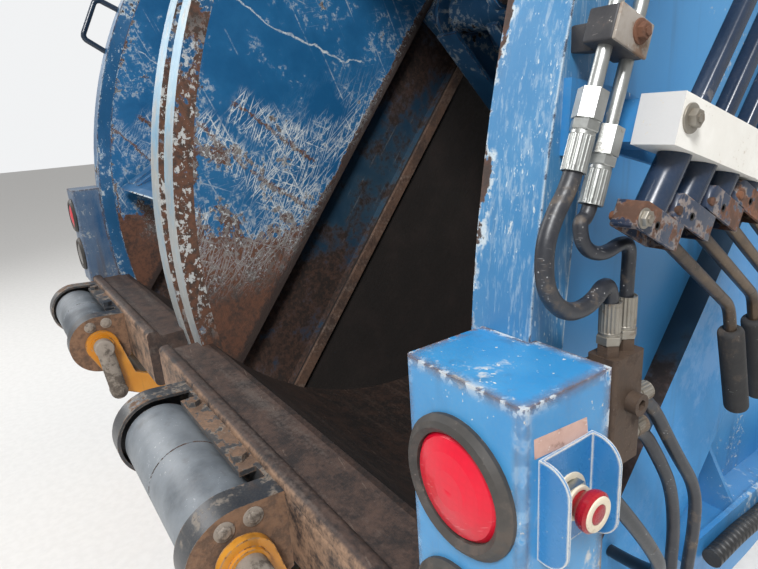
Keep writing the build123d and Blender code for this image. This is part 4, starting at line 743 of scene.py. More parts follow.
FINISHES = (
    WallPaint("hopper_wall_paint", (0.009, 0.088, 0.215), (0.018, 0.13, 0.29), scratches=0.5, rusting=0.36,
        primer=(0.64, 0.66, 0.64), weld_lines=WALL_WELDS, gouges=WALL_GOUGES,
        nodes="divider_wall_left divider_wall_right side_wall_right side_wall_left"),
    ChannelPaint("track_channel_paint", (0.012, 0.036, 0.065), (0.024, 0.055, 0.085), rusting=0.3, grime=0.6,
        nodes="track_channels_left track_channels_right"),
    WornPaint("blue_side_paint", (0.024, 0.17, 0.4), (0.05, 0.22, 0.46), scratches=0.12, chips=0.5, rusting=0.24,
        grime=0.6,
        nodes="side_ribs seal_frame roof_panel hinge_ears lift_lugs lock_lugs lever_bracket cylinder_anchors "
              "carrier_barrels floor_ribs"),
    WornPaint("blue_post_paint", (0.035, 0.165, 0.34), (0.07, 0.22, 0.4), scratches=0.1, chips=0.9, rusting=0.3,
        edge_wear=1.1, edge_rust=0.6, lie=Lie.REAR, fleck=(330.0, 0.28), weathered=0.32,
        rust_from_x=(1.066, 1.036, 0.12), nodes="rear_post_right"),
    WornPaint("far_post_paint", (0.01, 0.075, 0.175), (0.025, 0.12, 0.26), chips=1.0, rusting=0.4, edge_wear=1.2,
        edge_reach=0.01, lie=Lie.REAR, nodes="rear_post_left"),
    WornPaint("divider_post_paint", (0.11, 0.27, 0.4), (0.22, 0.38, 0.48), scratches=0.25, chips=0.7, rusting=0.26,
        edge_wear=1.0, edge_rust=0.7, lie=Lie.REAR, side_rust=0.2, side_paint=(0.01, 0.085, 0.2),
        fleck=(70.0, 0.8), weathered=0.3, primer=(0.56, 0.58, 0.57), low_dust=0.75, nodes="divider_posts"),
    WornPaint("blue_hood_paint", (0.006, 0.055, 0.15), (0.015, 0.09, 0.21), scratches=0.2, rusting=0.2,
        lie=Lie.REAR, nodes="hood_panel"),
    WornPaint("blue_box_paint", (0.026, 0.205, 0.455), (0.052, 0.265, 0.52), scratches=0.08, chips=0.8,
        rusting=0.26, rust=(0.16, 0.07, 0.035), dark_rust=(0.06, 0.03, 0.02), primer=(0.68, 0.64, 0.56),
        edge_wear=1.5, edge_rust=0.85, edge_reach=0.014, lie=Lie.REAR, top_rust=0.025, grime=0.6,
        nodes="lamp_box_right"),
    # The far lamp box's paint is a darker copy of the near box's, as painted shade; its chips, rust and dust are
    # real
    WornPaint("far_box_paint", (0.01, 0.07, 0.17), (0.026, 0.105, 0.22), chips=1.1, rusting=0.37,
        rust=(0.13, 0.06, 0.032), dark_rust=(0.04, 0.024, 0.018), primer=(0.3, 0.32, 0.33), edge_wear=1.3,
        edge_reach=0.012, weathered=0.14, grime=1.0, low_dust=0.16, fleck=(240.0, 0.5), nodes="lamp_box_left"),
    WornPaint("blue_guard_paint", (0.022, 0.15, 0.37), (0.035, 0.19, 0.42), scratches=0.1, chips=0.1, rusting=0.02,
        primer=(0.78, 0.72, 0.58), edge_wear=1.8, edge_rust=0.0, edge_reach=0.004, grime=0.1, gloss=0.24,
        nodes="estop_guard"),
    WornPaint("blue_packer_paint", (0.01, 0.08, 0.19), (0.025, 0.12, 0.26), scratches=0.35, rusting=0.36,
        edge_wear=1.0, lie=Lie.REAR,
        nodes="carrier_left carrier_right sweep_panel_left sweep_panel_right sweep_barrel_left "
              "sweep_barrel_right"),
    WornPaint("lifter_paint", (0.5, 0.19, 0.01), (0.6, 0.27, 0.03), rusting=0.36, primer=(0.24, 0.19, 0.14),
        edge_wear=0.9, lie=Lie.REAR, grime=0.9, nodes="lifter_left lifter_right"),
    WornPaint("bracket_paint", (0.018, 0.022, 0.028), (0.04, 0.044, 0.05), rusting=0.3, rust=(0.21, 0.115, 0.065),
        dark_rust=(0.1, 0.06, 0.04), primer=(0.2, 0.17, 0.14), edge_wear=0.8, top_rust=0.08, grime=0.8,
        rusty_plates=((-0.52, -0.49), (0.67, 0.7)), nodes="lifter_bracket_left lifter_bracket_right"),
    WornPaint("actuator_paint", (0.04, 0.052, 0.066), (0.18, 0.205, 0.23), scratches=0.12, chips=0.8, rusting=0.08,
        primer=(0.4, 0.42, 0.43), edge_wear=0.8, lie=Lie.FLAT, gloss=0.45, grime=0.5,
        nodes="actuator_left actuator_right"),
    WornPaint("black_arm_paint", (0.01, 0.02, 0.038), (0.018, 0.034, 0.06), scratches=0.1, chips=0.1, rusting=0.12,
        primer=(0.2, 0.2, 0.2), edge_wear=0.5, gloss=0.2, grime=0.2, nodes="grab_handle"),
    WornPaint("lever_paint", (0.01, 0.02, 0.042), (0.02, 0.036, 0.07), scratches=0.1, chips=0.2, rusting=0.28,
        rust=(0.2, 0.08, 0.038), dark_rust=(0.06, 0.034, 0.024), primer=(0.16, 0.15, 0.15), gloss=0.2,
        edge_wear=0.8, edge_rust=0.5, edge_reach=0.003, grime=0.2),
    WornPaint("clevis_paint", (0.018, 0.03, 0.06), (0.038, 0.054, 0.088), scratches=0.4, chips=1.0, rusting=0.66,
        rust=(0.25, 0.095, 0.042), dark_rust=(0.08, 0.04, 0.026), primer=(0.24, 0.2, 0.18), edge_wear=1.0,
        edge_reach=0.003, grime=0.4, fleck=(330.0, 1.0)),
    # The tan of the lever rods is a painted reflection of the ground
    PlainFinish("lever_rod_steel", (0.13, 0.088, 0.052), (0.06, 0.042, 0.03), 0.26, metal=0.6, scuffs=0.5,
        scuff_colour=(0.34, 0.29, 0.22), grime=0.4, grime_colour=(0.035, 0.026, 0.02)),
    RustySteel("ridge_steel", rust=(0.12, 0.068, 0.045), dark=(0.05, 0.032, 0.025), pale=(0.2, 0.15, 0.12),
        traces=0.3, lie=Lie.SIDE, nodes="track_ridges"),
    # The hopper floor's near-black rust is partly painted shade of the hopper's inside
    RustySteel("hopper_floor_steel", rust=(0.034, 0.016, 0.01), dark=(0.008, 0.005, 0.004),
        pale=(0.06, 0.04, 0.03), traces=0.0, under_paint=(0.024, 0.17, 0.4),
        nodes="hopper_floor_left hopper_floor_right"),
    RustySteel("sill_steel", rust=(0.075, 0.045, 0.034), dark=(0.02, 0.015, 0.014), pale=(0.095, 0.078, 0.068),
        traces=0.25, rear_pale=0.8, nodes="sill_left sill_right"),
    PlainFinish("hose_rubber", (0.012, 0.014, 0.02), (0.03, 0.031, 0.036), 0.34, scuffs=0.5,
        scuff_colour=(0.36, 0.36, 0.36), grime=0.42, grime_colour=(0.1, 0.078, 0.06)),
    PlainFinish("cable_sleeve_rubber", (0.012, 0.014, 0.018), (0.022, 0.024, 0.028), 0.34, grime=0.15),
    PlainFinish("lamp_rubber", (0.026, 0.024, 0.022), (0.05, 0.044, 0.039), 0.5, scuff_colour=(0.14, 0.12, 0.11),
        grime=0.5, grime_colour=(0.085, 0.068, 0.056), nodes="lamp_grommets"),
    PlainFinish("grip_foam", (0.012, 0.012, 0.013), (0.022, 0.021, 0.021), 0.72, grime=0.35,
        grime_colour=(0.07, 0.055, 0.045), relief=0.6),
    PlainFinish("conduit_plastic", (0.012, 0.012, 0.013), (0.028, 0.027, 0.026), 0.42, grime=0.35,
        grime_colour=(0.16, 0.13, 0.1), rings=28.0, relief=0.7, nodes="conduit"),
    PlainFinish("zinc_plate", (0.52, 0.53, 0.52), (0.4, 0.41, 0.39), 0.32, metal=1.0, scuffs=0.4, grime=0.25,
        grime_colour=(0.15, 0.11, 0.07), nodes="estop_nut hydraulic_tubes"),
    PlainFinish("dirty_zinc", (0.34, 0.32, 0.28), (0.24, 0.21, 0.17), 0.42, metal=0.8, scuffs=0.4, grime=0.6,
        grime_colour=(0.1, 0.065, 0.04), nodes="hose_bulkhead"),
    PlainFinish("rusty_bolt", (0.17, 0.07, 0.034), (0.09, 0.042, 0.026), 0.8, scuffs=0.2, grime=0.5,
        grime_colour=(0.04, 0.025, 0.018), relief=1.0),
    PlainFinish("valve_rust", (0.06, 0.04, 0.028), (0.1, 0.062, 0.04), 0.62, metal=0.2, scuffs=0.5,
        scuff_colour=(0.24, 0.19, 0.15), grime=0.7, grime_colour=(0.035, 0.022, 0.016), relief=0.8,
        nodes="relief_valve"),
    PlainFinish("clamp_steel", (0.022, 0.023, 0.028), (0.05, 0.048, 0.05), 0.5, metal=0.2, scuffs=0.5,
        scuff_colour=(0.3, 0.28, 0.26), grime=0.35, grime_colour=(0.16, 0.1, 0.06), relief=0.6),
    PlainFinish("cover_steel", (0.34, 0.31, 0.28), (0.24, 0.2, 0.16), 0.5, metal=0.2, scuffs=0.9,
        scuff_colour=(0.56, 0.54, 0.5), grime=0.7, grime_colour=(0.16, 0.085, 0.045), relief=0.6),
    PlainFinish("iron_cast", (0.11, 0.11, 0.11), (0.07, 0.065, 0.06), 0.6, metal=0.3, grime=0.5, relief=0.8,
        nodes="valve_bank"),
    PlainFinish("rod_chrome", (0.62, 0.62, 0.62), (0.55, 0.55, 0.54), 0.14, metal=1.0, scuffs=0.1, grime=0.1,
        nodes="carrier_rods_left carrier_rods_right sweep_rod_left sweep_rod_right"),
    PlainFinish("link_steel", (0.3, 0.26, 0.22), (0.19, 0.16, 0.13), 0.6, metal=0.2, scuffs=0.9,
        scuff_colour=(0.46, 0.42, 0.38), grime=0.7, grime_colour=(0.07, 0.055, 0.045), relief=0.8),
    # The guide block's grey rear faces are painted shade
    PlainFinish("guide_plastic", (0.8, 0.785, 0.74), (0.72, 0.7, 0.65), 0.5, scuffs=0.5,
        rear_colour=(0.52, 0.52, 0.52), scuff_colour=(0.55, 0.51, 0.44), grime=0.05,
        grime_colour=(0.34, 0.24, 0.15), nodes="lever_guide"),
    PlainFinish("cream_plastic", (0.72, 0.64, 0.5), (0.62, 0.54, 0.41), 0.45, scuff_colour=(0.36, 0.28, 0.2),
        grime=0.15, grime_colour=(0.28, 0.18, 0.11)),
    PlainFinish("label_film", (0.58, 0.38, 0.31), (0.5, 0.31, 0.25), 0.4, scuffs=0.8, scale=2.0,
        scuff_colour=(0.74, 0.66, 0.6), grime=0.4, grime_colour=(0.22, 0.13, 0.1)),
    PlainFinish("stop_red", (0.34, 0.008, 0.016), (0.24, 0.007, 0.012), 0.22, scuffs=0.1, grime=0.05,
        nodes="estop_button"),
    LampLens("lens_red", (0.6, 0.003, 0.024), (0.44, 0.002, 0.014), nodes="stop_lamps"),
    LampLens("lens_grey", (0.16, 0.15, 0.14), (0.1, 0.095, 0.09), nodes="lower_lamps"),
)


class Finishes:
    """All the materials, each made once."""

    def __init__(self) -> None:
        """Make every finish."""
        self.made = {finish.name: finish.build() for finish in FINISHES}

    def __getitem__(self, name: str) -> bpy.types.Material:
        """The material of a name."""
        return self.made[name]


@dataclass(frozen=True)
class Place:
    """A spot on the object and the direction in which a piece stands on it."""

    at: Point
    along: Point = (1.0, 0.0, 0.0)
    turn: float = 0.0

    def matrix(self) -> Matrix:
        """Transform from a piece's own upright frame to its place."""
        lean = Vector(self.along).to_track_quat("Z", "Y").to_matrix().to_4x4()
        return Matrix.Translation(self.at) @ lean @ Matrix.Rotation(math.radians(self.turn), 4, "Z")


def every(_middle: Vector, _normal: Vector) -> bool:
    """Every face."""
    return True


def top(_middle: Vector, normal: Vector) -> bool:
    """Faces that look up."""
    return normal.z > 0.9


def ends(_middle: Vector, normal: Vector) -> bool:
    """Faces that look up or down."""
    return abs(normal.z) > 0.9


def sides(_middle: Vector, normal: Vector) -> bool:
    """Faces that look sideways."""
    return abs(normal.z) < 0.5


def core(reach: float) -> Test:
    """Faces that look up within a reach of the axis."""
    return lambda middle, normal: normal.z > 0.9 and middle.xy.length < reach


def above(height: float) -> Test:
    """Faces that look up from above a height."""
    return lambda middle, normal: normal.z > 0.9 and middle.z > height


@dataclass
class Bench:
    """Modelling by operators; every assembly is made on one, from its own sizes."""

    finishes: Finishes

    def alone(self, *pieces: Piece) -> None:
        """Select some pieces alone, the first of them active.

        Args:
            *pieces: The pieces.
        """
        bpy.ops.object.select_all(action="DESELECT")
        for piece in pieces:
            piece.select_set(True)
        if pieces:
            bpy.context.view_layer.objects.active = pieces[0]

    def fresh(self, name: str, operator: Callable[..., object], **settings: object) -> Piece:
        """Add a primitive, with its place kept in its mesh.

        Args:
            name: Name of the piece.
            operator: Operator that adds the primitive.
            **settings: Its sizes and place.

        Returns:
            The piece.
        """
        self.alone()
        operator(**settings)
        bpy.ops.object.transform_apply(location=True, rotation=True, scale=True)
        piece = bpy.context.object
        piece.name = piece.data.name = name
        return piece

    def cylinder(self, name: str, radius: float, length: float, count: int, base: float = 0.0) -> Piece:
        """Upright cylinder on the axis, of a count of sides, with its foot at a height."""
        return self.fresh(name, bpy.ops.mesh.primitive_cylinder_add, vertices=count, radius=radius, depth=length,
                          location=(0.0, 0.0, base + length / 2))

    def box(self, name: str, size: Point, middle: Point = (0.0, 0.0, 0.0)) -> Piece:
        """Box of a size about its middle."""
        return self.fresh(name, bpy.ops.mesh.primitive_cube_add, size=1.0, scale=size, location=middle)

    def pick(self, piece: Piece, wanted: Test) -> None:
        """Open a piece for shaping and select some of its faces.

        Args:
            piece: The piece.
            wanted: Test of a face's middle and normal.
        """
        bpy.context.view_layer.objects.active = piece
        bpy.ops.object.mode_set(mode="EDIT")
        bpy.ops.mesh.select_mode(type="FACE")
        bpy.ops.mesh.select_all(action="DESELECT")
        for face in bmesh.from_edit_mesh(piece.data).faces:
            if wanted(face.calc_center_median(), face.normal):
                face.select_set(True)
        bmesh.update_edit_mesh(piece.data)

    def leave(self) -> None:
        """Close the piece that is being shaped."""
        bpy.ops.object.mode_set(mode="OBJECT")

    def shape(self, piece: Piece, wanted: Test, operator: Callable[..., object], **settings: object) -> None:
        """Shape some faces by one operator.

        Args:
            piece: The piece.
            wanted: Test of a face's middle and normal.
            operator: The operator.
            **settings: Its settings.
        """
        self.pick(piece, wanted)
        operator(**settings)
        self.leave()

    def inset(self, piece: Piece, wanted: Test, width: float, depth: float = 0.0, each: bool = False) -> None:
        """Inset some faces, together or each by itself, and raise them by a depth."""
        self.shape(piece, wanted, bpy.ops.mesh.inset, thickness=width, depth=depth, use_individual=each)

    def raise_faces(self, piece: Piece, wanted: Test, move: Point) -> None:
        """Extrude some faces."""
        self.shape(piece, wanted, bpy.ops.mesh.extrude_region_move, TRANSFORM_OT_translate={"value": move})

    def round_faces(self, piece: Piece, wanted: Test, width: float, segments: int = 2) -> None:
        """Bevel the edges of some faces."""
        self.shape(piece, wanted, bpy.ops.mesh.bevel, offset=width, segments=segments, affect="EDGES")

    def join(self, pieces: list[Piece], name: str) -> Piece:
        """Join pieces into one.

        Args:
            pieces: The pieces.
            name: Name of the whole.

        Returns:
            The joined piece.
        """
        self.alone(*pieces)
        if len(pieces) > 1:
            bpy.ops.object.join()
        pieces[0].name = pieces[0].data.name = name
        return pieces[0]

    def put(self, piece: Piece, place: Place | Point) -> Piece:
        """Stand a piece on its place, with the place kept in its mesh.

        Args:
            piece: The piece, modelled at the origin.
            place: Where it goes, or how far it is moved unturned.

        Returns:
            The piece.
        """
        piece.matrix_world = place.matrix() if isinstance(place, Place) else Matrix.Translation(place)
        self.alone(piece)
        bpy.ops.object.transform_apply(location=True, rotation=True, scale=True)
        return piece

    def spread(self, model: Piece, places: list[Place | Point], name: str) -> Piece:
        """Copy a model to several places and join the copies.

        Args:
            model: The model, upright at the origin; it is used up.
            places: Where the copies go.
            name: Name of the whole.

        Returns:
            The joined copies.
        """
        copies = []
        for place in places[1:]:
            twin = model.copy()
            twin.data = model.data.copy()
            bpy.context.scene.collection.objects.link(twin)
            copies.append(self.put(twin, place))
        return self.join([self.put(model, places[0]), *copies], name)

    def dress(self, piece: Piece, finish: str, body: str = ROOT_BODY, slot: str = "zinc",
              angle: float = 35.0) -> Piece:
        """Smooth, paint and mount a piece.

        Args:
            piece: The piece.
            finish: Name of its finish.
            body: Body that it rides on.
            slot: Not used.
            angle: Sharpest edge that is smoothed, in degrees.

        Returns:
            The piece.
        """
        self.alone(piece)
        bpy.ops.object.shade_smooth_by_angle(angle=math.radians(angle))
        piece.data.materials.clear()
        piece.data.materials.append(self.finishes[finish])
        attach(piece, body)
        LOG.info("made %s, %d faces, on %s", piece.name, len(piece.data.polygons), body)
        return piece


@dataclass(frozen=True)
class HexBolt:
    """Hexagon head with a chamfer and a thread's end, on a round washer."""

    radius: float = 0.008
    height: float = 0.006
    washer_radius: float = 0.0125
    washer_height: float = 0.002
    chamfer: float = 0.1
    crown_inset: float = 0.3
    crown_rise: float = 0.25
    washer_edge: float = 0.3

    def model(self, bench: Bench, name: str) -> Piece:
        """Model one bolt upright at the origin.

        Args:
            bench: The bench.
            name: Name of the piece.

        Returns:
            The bolt.
        """
        head = bench.cylinder(name, self.radius, self.height, 6, self.washer_height)
        bench.round_faces(head, top, self.radius * self.chamfer)
        crown = self.washer_height + self.height - SLACK
        bench.inset(head, lambda middle, normal: normal.z > 0.95 and middle.z > crown,
                    self.radius * self.crown_inset)
        bench.raise_faces(head, core(self.radius * self.chamfer), (0.0, 0.0, self.height * self.crown_rise))
        washer = bench.cylinder(name + "_washer", self.washer_radius, self.washer_height, PIN_SIDES)
        bench.round_faces(washer, top, self.washer_height * self.washer_edge)
        return bench.join([head, washer], name)


@dataclass
class Fasteners(Bench):
    """Bolts of the lever guide, rear lever, tube clamp and lifter plates."""

    guide_bolts: tuple[Point, ...] = ((1.19, -1.697, 0.461), (1.19, -1.505, 0.404))
    lever_bolt: Point = (1.1838, -1.7442, 0.385)
    clamp_bolt: Point = (1.162, -1.731, 0.53)
    plate_faces: tuple[float, ...] = (-0.5, 0.692)
    far_plate_faces: tuple[float, ...] = (-1.03, 0.162)
    plate_bolts: tuple[Flat, ...] = ((-1.996, -0.112), (-1.948, -0.108))
    lever_size: HexBolt = HexBolt(0.0072, 0.004, 0.0088, 0.0012)
    clamp_size: HexBolt = HexBolt(0.007, 0.005, 0.01, 0.0015)
    plate_size: HexBolt = HexBolt(0.011, 0.003, 0.017, 0.0015)

    def build(self) -> None:
        """Make every bolt."""
        plates = [Place((x, y, z)) for x in self.plate_faces for y, z in self.plate_bolts]
        plates += [Place((x, y, z), (-1.0, 0.0, 0.0)) for x in self.far_plate_faces for y, z in self.plate_bolts]
        for name, size, places, finish, slot in (
            ("guide_bolts", HexBolt(), [Place(at, turn=12.0) for at in self.guide_bolts], "dirty_zinc", "zinc"),
            ("lever_bolt", self.lever_size, [Place(self.lever_bolt, turn=20.0)], "dirty_zinc", "zinc"),
            ("clamp_bolt", self.clamp_size, [Place(self.clamp_bolt, turn=8.0)], "rusty_bolt", "zinc"),
            ("plate_bolts", self.plate_size, plates, "link_steel", "worn_steel"),
        ):
            self.dress(self.spread(size.model(self, name), places, name), finish, slot=slot)


@dataclass
class TubeClamp(Bench):
    """Block that holds the two tubes, with a cover plate, on a foot at the post."""

    centre: Point = (1.1455, -1.7375, 0.53)
    size: Point = (0.027, 0.047, 0.028)
    lean: float = 69.7
    post_x: float = 1.1132
    foot: Flat = (0.03, 0.022)
    sunk: float = 0.002
    cover: float = 0.003
    edge: float = 0.002
    cover_edge: float = 0.0009

    def build(self) -> None:
        """Make the clamp."""
        upward = (0.0, math.cos(math.radians(self.lean)), math.sin(math.radians(self.lean)))
        body = self.box("clamp_body", self.size)
        self.round_faces(body, every, self.edge, 3)
        self.put(body, Place(self.centre, upward))
        back = self.centre[0] - self.size[0] / 2
        foot = self.box("clamp_foot", (back - self.post_x + self.sunk, *self.foot),
                         ((back + self.post_x) / 2, self.centre[1], self.centre[2]))
        self.round_faces(foot, lambda middle, normal: abs(normal.x) < 0.5, self.edge)
        body = self.dress(self.join([body, foot], "clamp_body"), "clamp_steel", slot="worn_steel")
        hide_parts("hose_clamp")
        cover = self.box("clamp_cover", (self.cover, *self.size[1:]))
        self.round_faces(cover, every, self.cover_edge, 2)
        self.put(cover, Place((self.centre[0] + (self.size[0] + self.cover) / 2, *self.centre[1:]), upward))
        self.dress(cover, "cover_steel", slot="worn_steel")


@dataclass
class ControlLevers(Bench):
    """Four hand levers: shaft in the guide block, round socket, channel with its pin, bent rod and foam grip."""

    low: Flat = (-1.7182, 0.3815)
    step: Flat = (0.046, -0.0137)
    drawn: tuple[float, ...] = (0.0, 0.016, 0.033, 0.048)
    lever_x: float = 1.17
    shaft: Point = (0.016, 0.016, 0.862)
    shaft_edge: float = 0.004
    sleeve: Flat = (0.014, 0.064)
    sleeve_rim: float = 0.0022
    channel: Point = (0.028, 0.0245, 0.076)
    channel_edge: float = 0.006
    channel_middle: Flat = (0.003, -0.009)
    channel_lean: float = -27.3
    wall: float = 0.003
    knuckle: Flat = (-0.028, 0.003)
    hole: Flat = (-0.006, -0.006)
    hole_size: Flat = (0.0036, 0.0012)
    hole_rim: float = 0.0012
    hole_depth: float = 0.0006
    pin_radius: float = 0.0042
    pin_end: float = 0.0015
    pin_edge: float = 0.0012
    rod: tuple[Flat, ...] = ((0.026, -0.022), (0.173, -0.126), (0.221, -0.262))
    rod_radius: float = 0.0065
    bend: float = 0.04
    grip: Flat = (0.0135, 0.12)
    grip_edge: float = 0.0055
    grip_past: float = 0.008

    def shaft_piece(self) -> Piece:
        """Model a shaft with its round socket, from the lever's low point up the track.

        Returns:
            The shaft.
        """
        shaft = self.box("lever_shafts", self.shaft, (0.0, 0.0, self.shaft[2] / 2))
        self.round_faces(shaft, sides, self.shaft_edge, 3)
        sleeve = self.cylinder("lever_sleeve", *self.sleeve, GRIP_SIDES)
        self.inset(sleeve, ends, self.sleeve_rim)
        whole = self.join([shaft, sleeve], "lever_shafts")
        return self.put(whole, Place((0.0, 0.0, 0.0), (0.0, math.cos(TRACK_ANGLE), math.sin(TRACK_ANGLE))))

    def channel_piece(self) -> Piece:
        """Model a channel with rounded ends that is open below.

        Returns:
            The channel.
        """
        channel = self.box("lever_channels", self.channel)
        self.round_faces(channel, ends, self.channel_edge, 3)
        self.inset(channel, lambda middle, normal: normal.y < -0.9, self.wall)
        self.raise_faces(
            channel, lambda middle, normal: normal.y < -0.9 and abs(middle.x) < 0.002 and abs(middle.z) < 0.01,
            (0.0, self.channel[1] - self.wall * 2, 0.0),
        )
        angle = math.radians(self.channel_lean)
        return self.put(channel, Place((0.0, *self.channel_middle), (0.0, math.cos(angle), math.sin(angle))))

    def pin_piece(self) -> Piece:
        """Model the pin across a channel's rear end.

        Returns:
            The pin.
        """
        half = self.channel[0] / 2 + self.pin_end
        pin = self.cylinder("lever_pins", self.pin_radius, half * 2, PIN_SIDES)
        self.round_faces(pin, ends, self.pin_edge, 2)
        return self.put(pin, Place((-half, *self.knuckle)))

    def hole_piece(self) -> Piece:
        """Model a small dark dish in a channel's side: painted shade that stands in for the hole.

        Returns:
            The rim.
        """
        rim = self.cylinder("lever_holes", *self.hole_size, PIN_SIDES)
        self.inset(rim, top, self.hole_rim, -self.hole_depth)
        return self.put(rim, Place((self.channel[0] / 2 - self.hole_depth, *self.hole)))

    def rod_piece(self) -> Piece:
        """Model the bent rod.

        Returns:
            The rod.
        """
        start, knee, end = (Vector((0.0, *spot)) for spot in self.rod)
        first, second = (knee - start).normalized(), (end - knee).normalized()
        turn = first.angle(second)
        back = self.bend * math.tan(turn / 2)
        rod = self.fresh("lever_rods", bpy.ops.mesh.primitive_circle_add, vertices=PIN_SIDES,
                         radius=self.rod_radius, fill_type="NGON", location=start,
                         rotation=first.to_track_quat("Z", "Y").to_euler())
        self.pick(rod, every)
        near = knee - first * back
        bpy.ops.mesh.extrude_region_move(TRANSFORM_OT_translate={"value": near - start})
        centre = near + Vector((0.0, first.z, -first.y)) * self.bend
        bpy.ops.mesh.spin(steps=10, angle=turn, center=centre, axis=(1.0, 0.0, 0.0))
        bpy.ops.mesh.extrude_region_move(TRANSFORM_OT_translate={"value": end - knee - second * back})
        bpy.ops.mesh.select_all(action="SELECT")
        bpy.ops.mesh.normals_make_consistent(inside=False)
        self.leave()
        return rod

    def grip_piece(self) -> Piece:
        """Model the foam grip at the rod's end.

        Returns:
            The grip.
        """
        knee, end = (Vector((0.0, *spot)) for spot in self.rod[1:])
        reach = (end - knee).normalized()
        grip = self.cylinder("foam_grips", *self.grip, GRIP_SIDES)
        self.round_faces(grip, ends, self.grip_edge, 5)
        return self.put(grip, Place(tuple(end + reach * (self.grip_past - self.grip[1])), tuple(reach)))

    def build(self) -> None:
        """Make the levers, each drawn out of the block a little further than the one behind it."""
        spots = []
        for number, drawn in enumerate(self.drawn):
            spots.append((self.lever_x, self.low[0] + self.step[0] * number + drawn * math.cos(TRACK_ANGLE),
                          self.low[1] + self.step[1] * number + drawn * math.sin(TRACK_ANGLE)))
        for model, finish, slot, node in (
            (self.shaft_piece(), "lever_paint", "black_paint", "control_levers"),
            (self.channel_piece(), "clevis_paint", "black_paint", "control_levers"),
            (self.pin_piece(), "rusty_bolt", "worn_steel", "control_levers"),
            # The hole's black disc is painted shade
            (self.hole_piece(), "grip_foam", "black_rubber", None),
            (self.rod_piece(), "lever_rod_steel", "worn_steel", "control_levers"),
            (self.grip_piece(), "grip_foam", "black_rubber", "lever_grips"),
        ):
            piece = self.dress(self.spread(model, spots, model.name), finish, slot=slot)
            if node:
                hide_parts(node)


@dataclass
class Ferrules(Bench):
    """Crimped sleeves with a nut that hold the hoses on their fittings."""

    tube_x: float = 1.146
    tube_starts: tuple[Flat, ...] = ((-1.765, 0.488), (-1.741, 0.458))
    tube_heads: tuple[Flat, ...] = ((-1.6, 0.93), (-1.572, 0.925))
    port_y: Flat = (-1.727, -1.702)
    port_top: float = 0.274
    side_starts: tuple[Point, ...] = ((1.146, -1.69, 0.146), (1.148, -1.69, 0.186))
    sleeve: Flat = (0.0104, 0.03)
    nut: Flat = (1.16, 0.009)
    neck: Flat = (0.94, 0.003)
    ribs: int = 20
    rib: Flat = (0.0011, 0.0005)
    mouth: float = 0.0012
    side_length: float = 0.018
    tube_cover: float = 0.0245
    port_cover: float = 0.016

    def model(self, name: str, length: float) -> Piece:
        """Model one sleeve upright at the origin, its nut at the foot.

        Args:
            name: Name of the piece.
            length: Length of the ribbed part.

        Returns:
            The sleeve.
        """
        radius, nut_height, neck_height = self.sleeve[0], self.nut[1], self.neck[1]
        nut = self.cylinder(name, radius * self.nut[0], nut_height, 6)
        self.round_faces(nut, ends, nut_height * 0.1)
        neck = self.cylinder(name + "_neck", radius * self.neck[0], neck_height, ROUND_SIDES, nut_height)
        self.round_faces(neck, top, self.rib[1])
        body = self.cylinder(name + "_body", radius, length, self.ribs, nut_height + neck_height)
        self.inset(body, sides, self.rib[0], -self.rib[1], True)
        self.inset(body, top, self.mouth)
        self.raise_faces(body, core(self.rib[1] * 2), (0.0, 0.0, -self.mouth))
        return self.join([nut, neck, body], name)

    def build(self) -> None:
        """Make the sleeves at both ends of the short hoses and at the valve's side."""
        tubes = []
        for low, high in zip(self.tube_starts, self.tube_heads):
            down = Vector((0.0, low[0] - high[0], low[1] - high[1])).normalized()
            tubes.append(Place(tuple(Vector((self.tube_x, *low)) + down * self.tube_cover), tuple(down), 14.0))
        foot = self.port_top - self.port_cover
        ports = [Place((self.tube_x, y, foot), (0.0, 0.0, 1.0), 25.0) for y in self.port_y]
        outlets = [Place(start, (0.0, 1.0, 0.0), 5.0) for start in self.side_starts]
        for name, length, places, finish in (
            ("upper_ferrules", self.sleeve[1], tubes, "zinc_plate"),
            ("lower_ferrules", self.sleeve[1], ports, "dirty_zinc"),
            ("side_ferrules", self.side_length, outlets, "dirty_zinc"),
        ):
            self.dress(self.spread(self.model(name, length), places, name), finish, angle=20.0)


@dataclass
class StopSwitch(Bench):
    """Pale ring and red middle on the emergency button's face, and the washers round its nut."""

    centre: Flat = (-1.849, 0.174)
    dome_x: float = 1.2238
    dome: Flat = (0.0084, 0.0012)
    steps: tuple[Flat, ...] = ((0.0025, 0.0006), (0.0025, 0.0003))
    cut: float = 0.8
    edge: float = 0.25
    rings: tuple[tuple[float, ...], ...] = (
        (1.2236, 0.015, 0.0088, 0.0016), (1.196, 0.0215, 0.016, 0.0014), (1.205, 0.015, 0.0112, 0.0022),
    )

    def washer(self, name: str, outer: float, inner: float, height: float) -> Piece:
        """Model a rounded ring upright at the origin.

        Args:
            name: Name of the piece.
            outer: Outer radius.
            inner: Inner radius.
            height: Height.

        Returns:
            The ring.
        """
        ring = self.cylinder(name, outer, height, GRIP_SIDES)
        self.inset(ring, top, outer - inner)
        self.raise_faces(ring, core(SLACK), (0.0, 0.0, -height * self.cut))
        self.round_faces(ring, above(height - SLACK), height * self.edge)
        return ring

    def build(self) -> None:
        """Make the switch's trim."""
        rings = [self.put(self.washer("stop_trim", *sizes), Place((x, *self.centre))) for x, *sizes in self.rings]
        self.dress(self.join(rings, "stop_trim"), "cream_plastic", slot="white_plastic")
        dome = self.cylinder("stop_centre", *self.dome, ROUND_SIDES)
        self.inset(dome, top, *self.steps[0])
        self.inset(dome, above(self.dome[1] + self.steps[1][1]), *self.steps[1])
        self.put(dome, Place((self.dome_x, *self.centre)))
        self.dress(dome, "stop_red", slot="red_plastic")


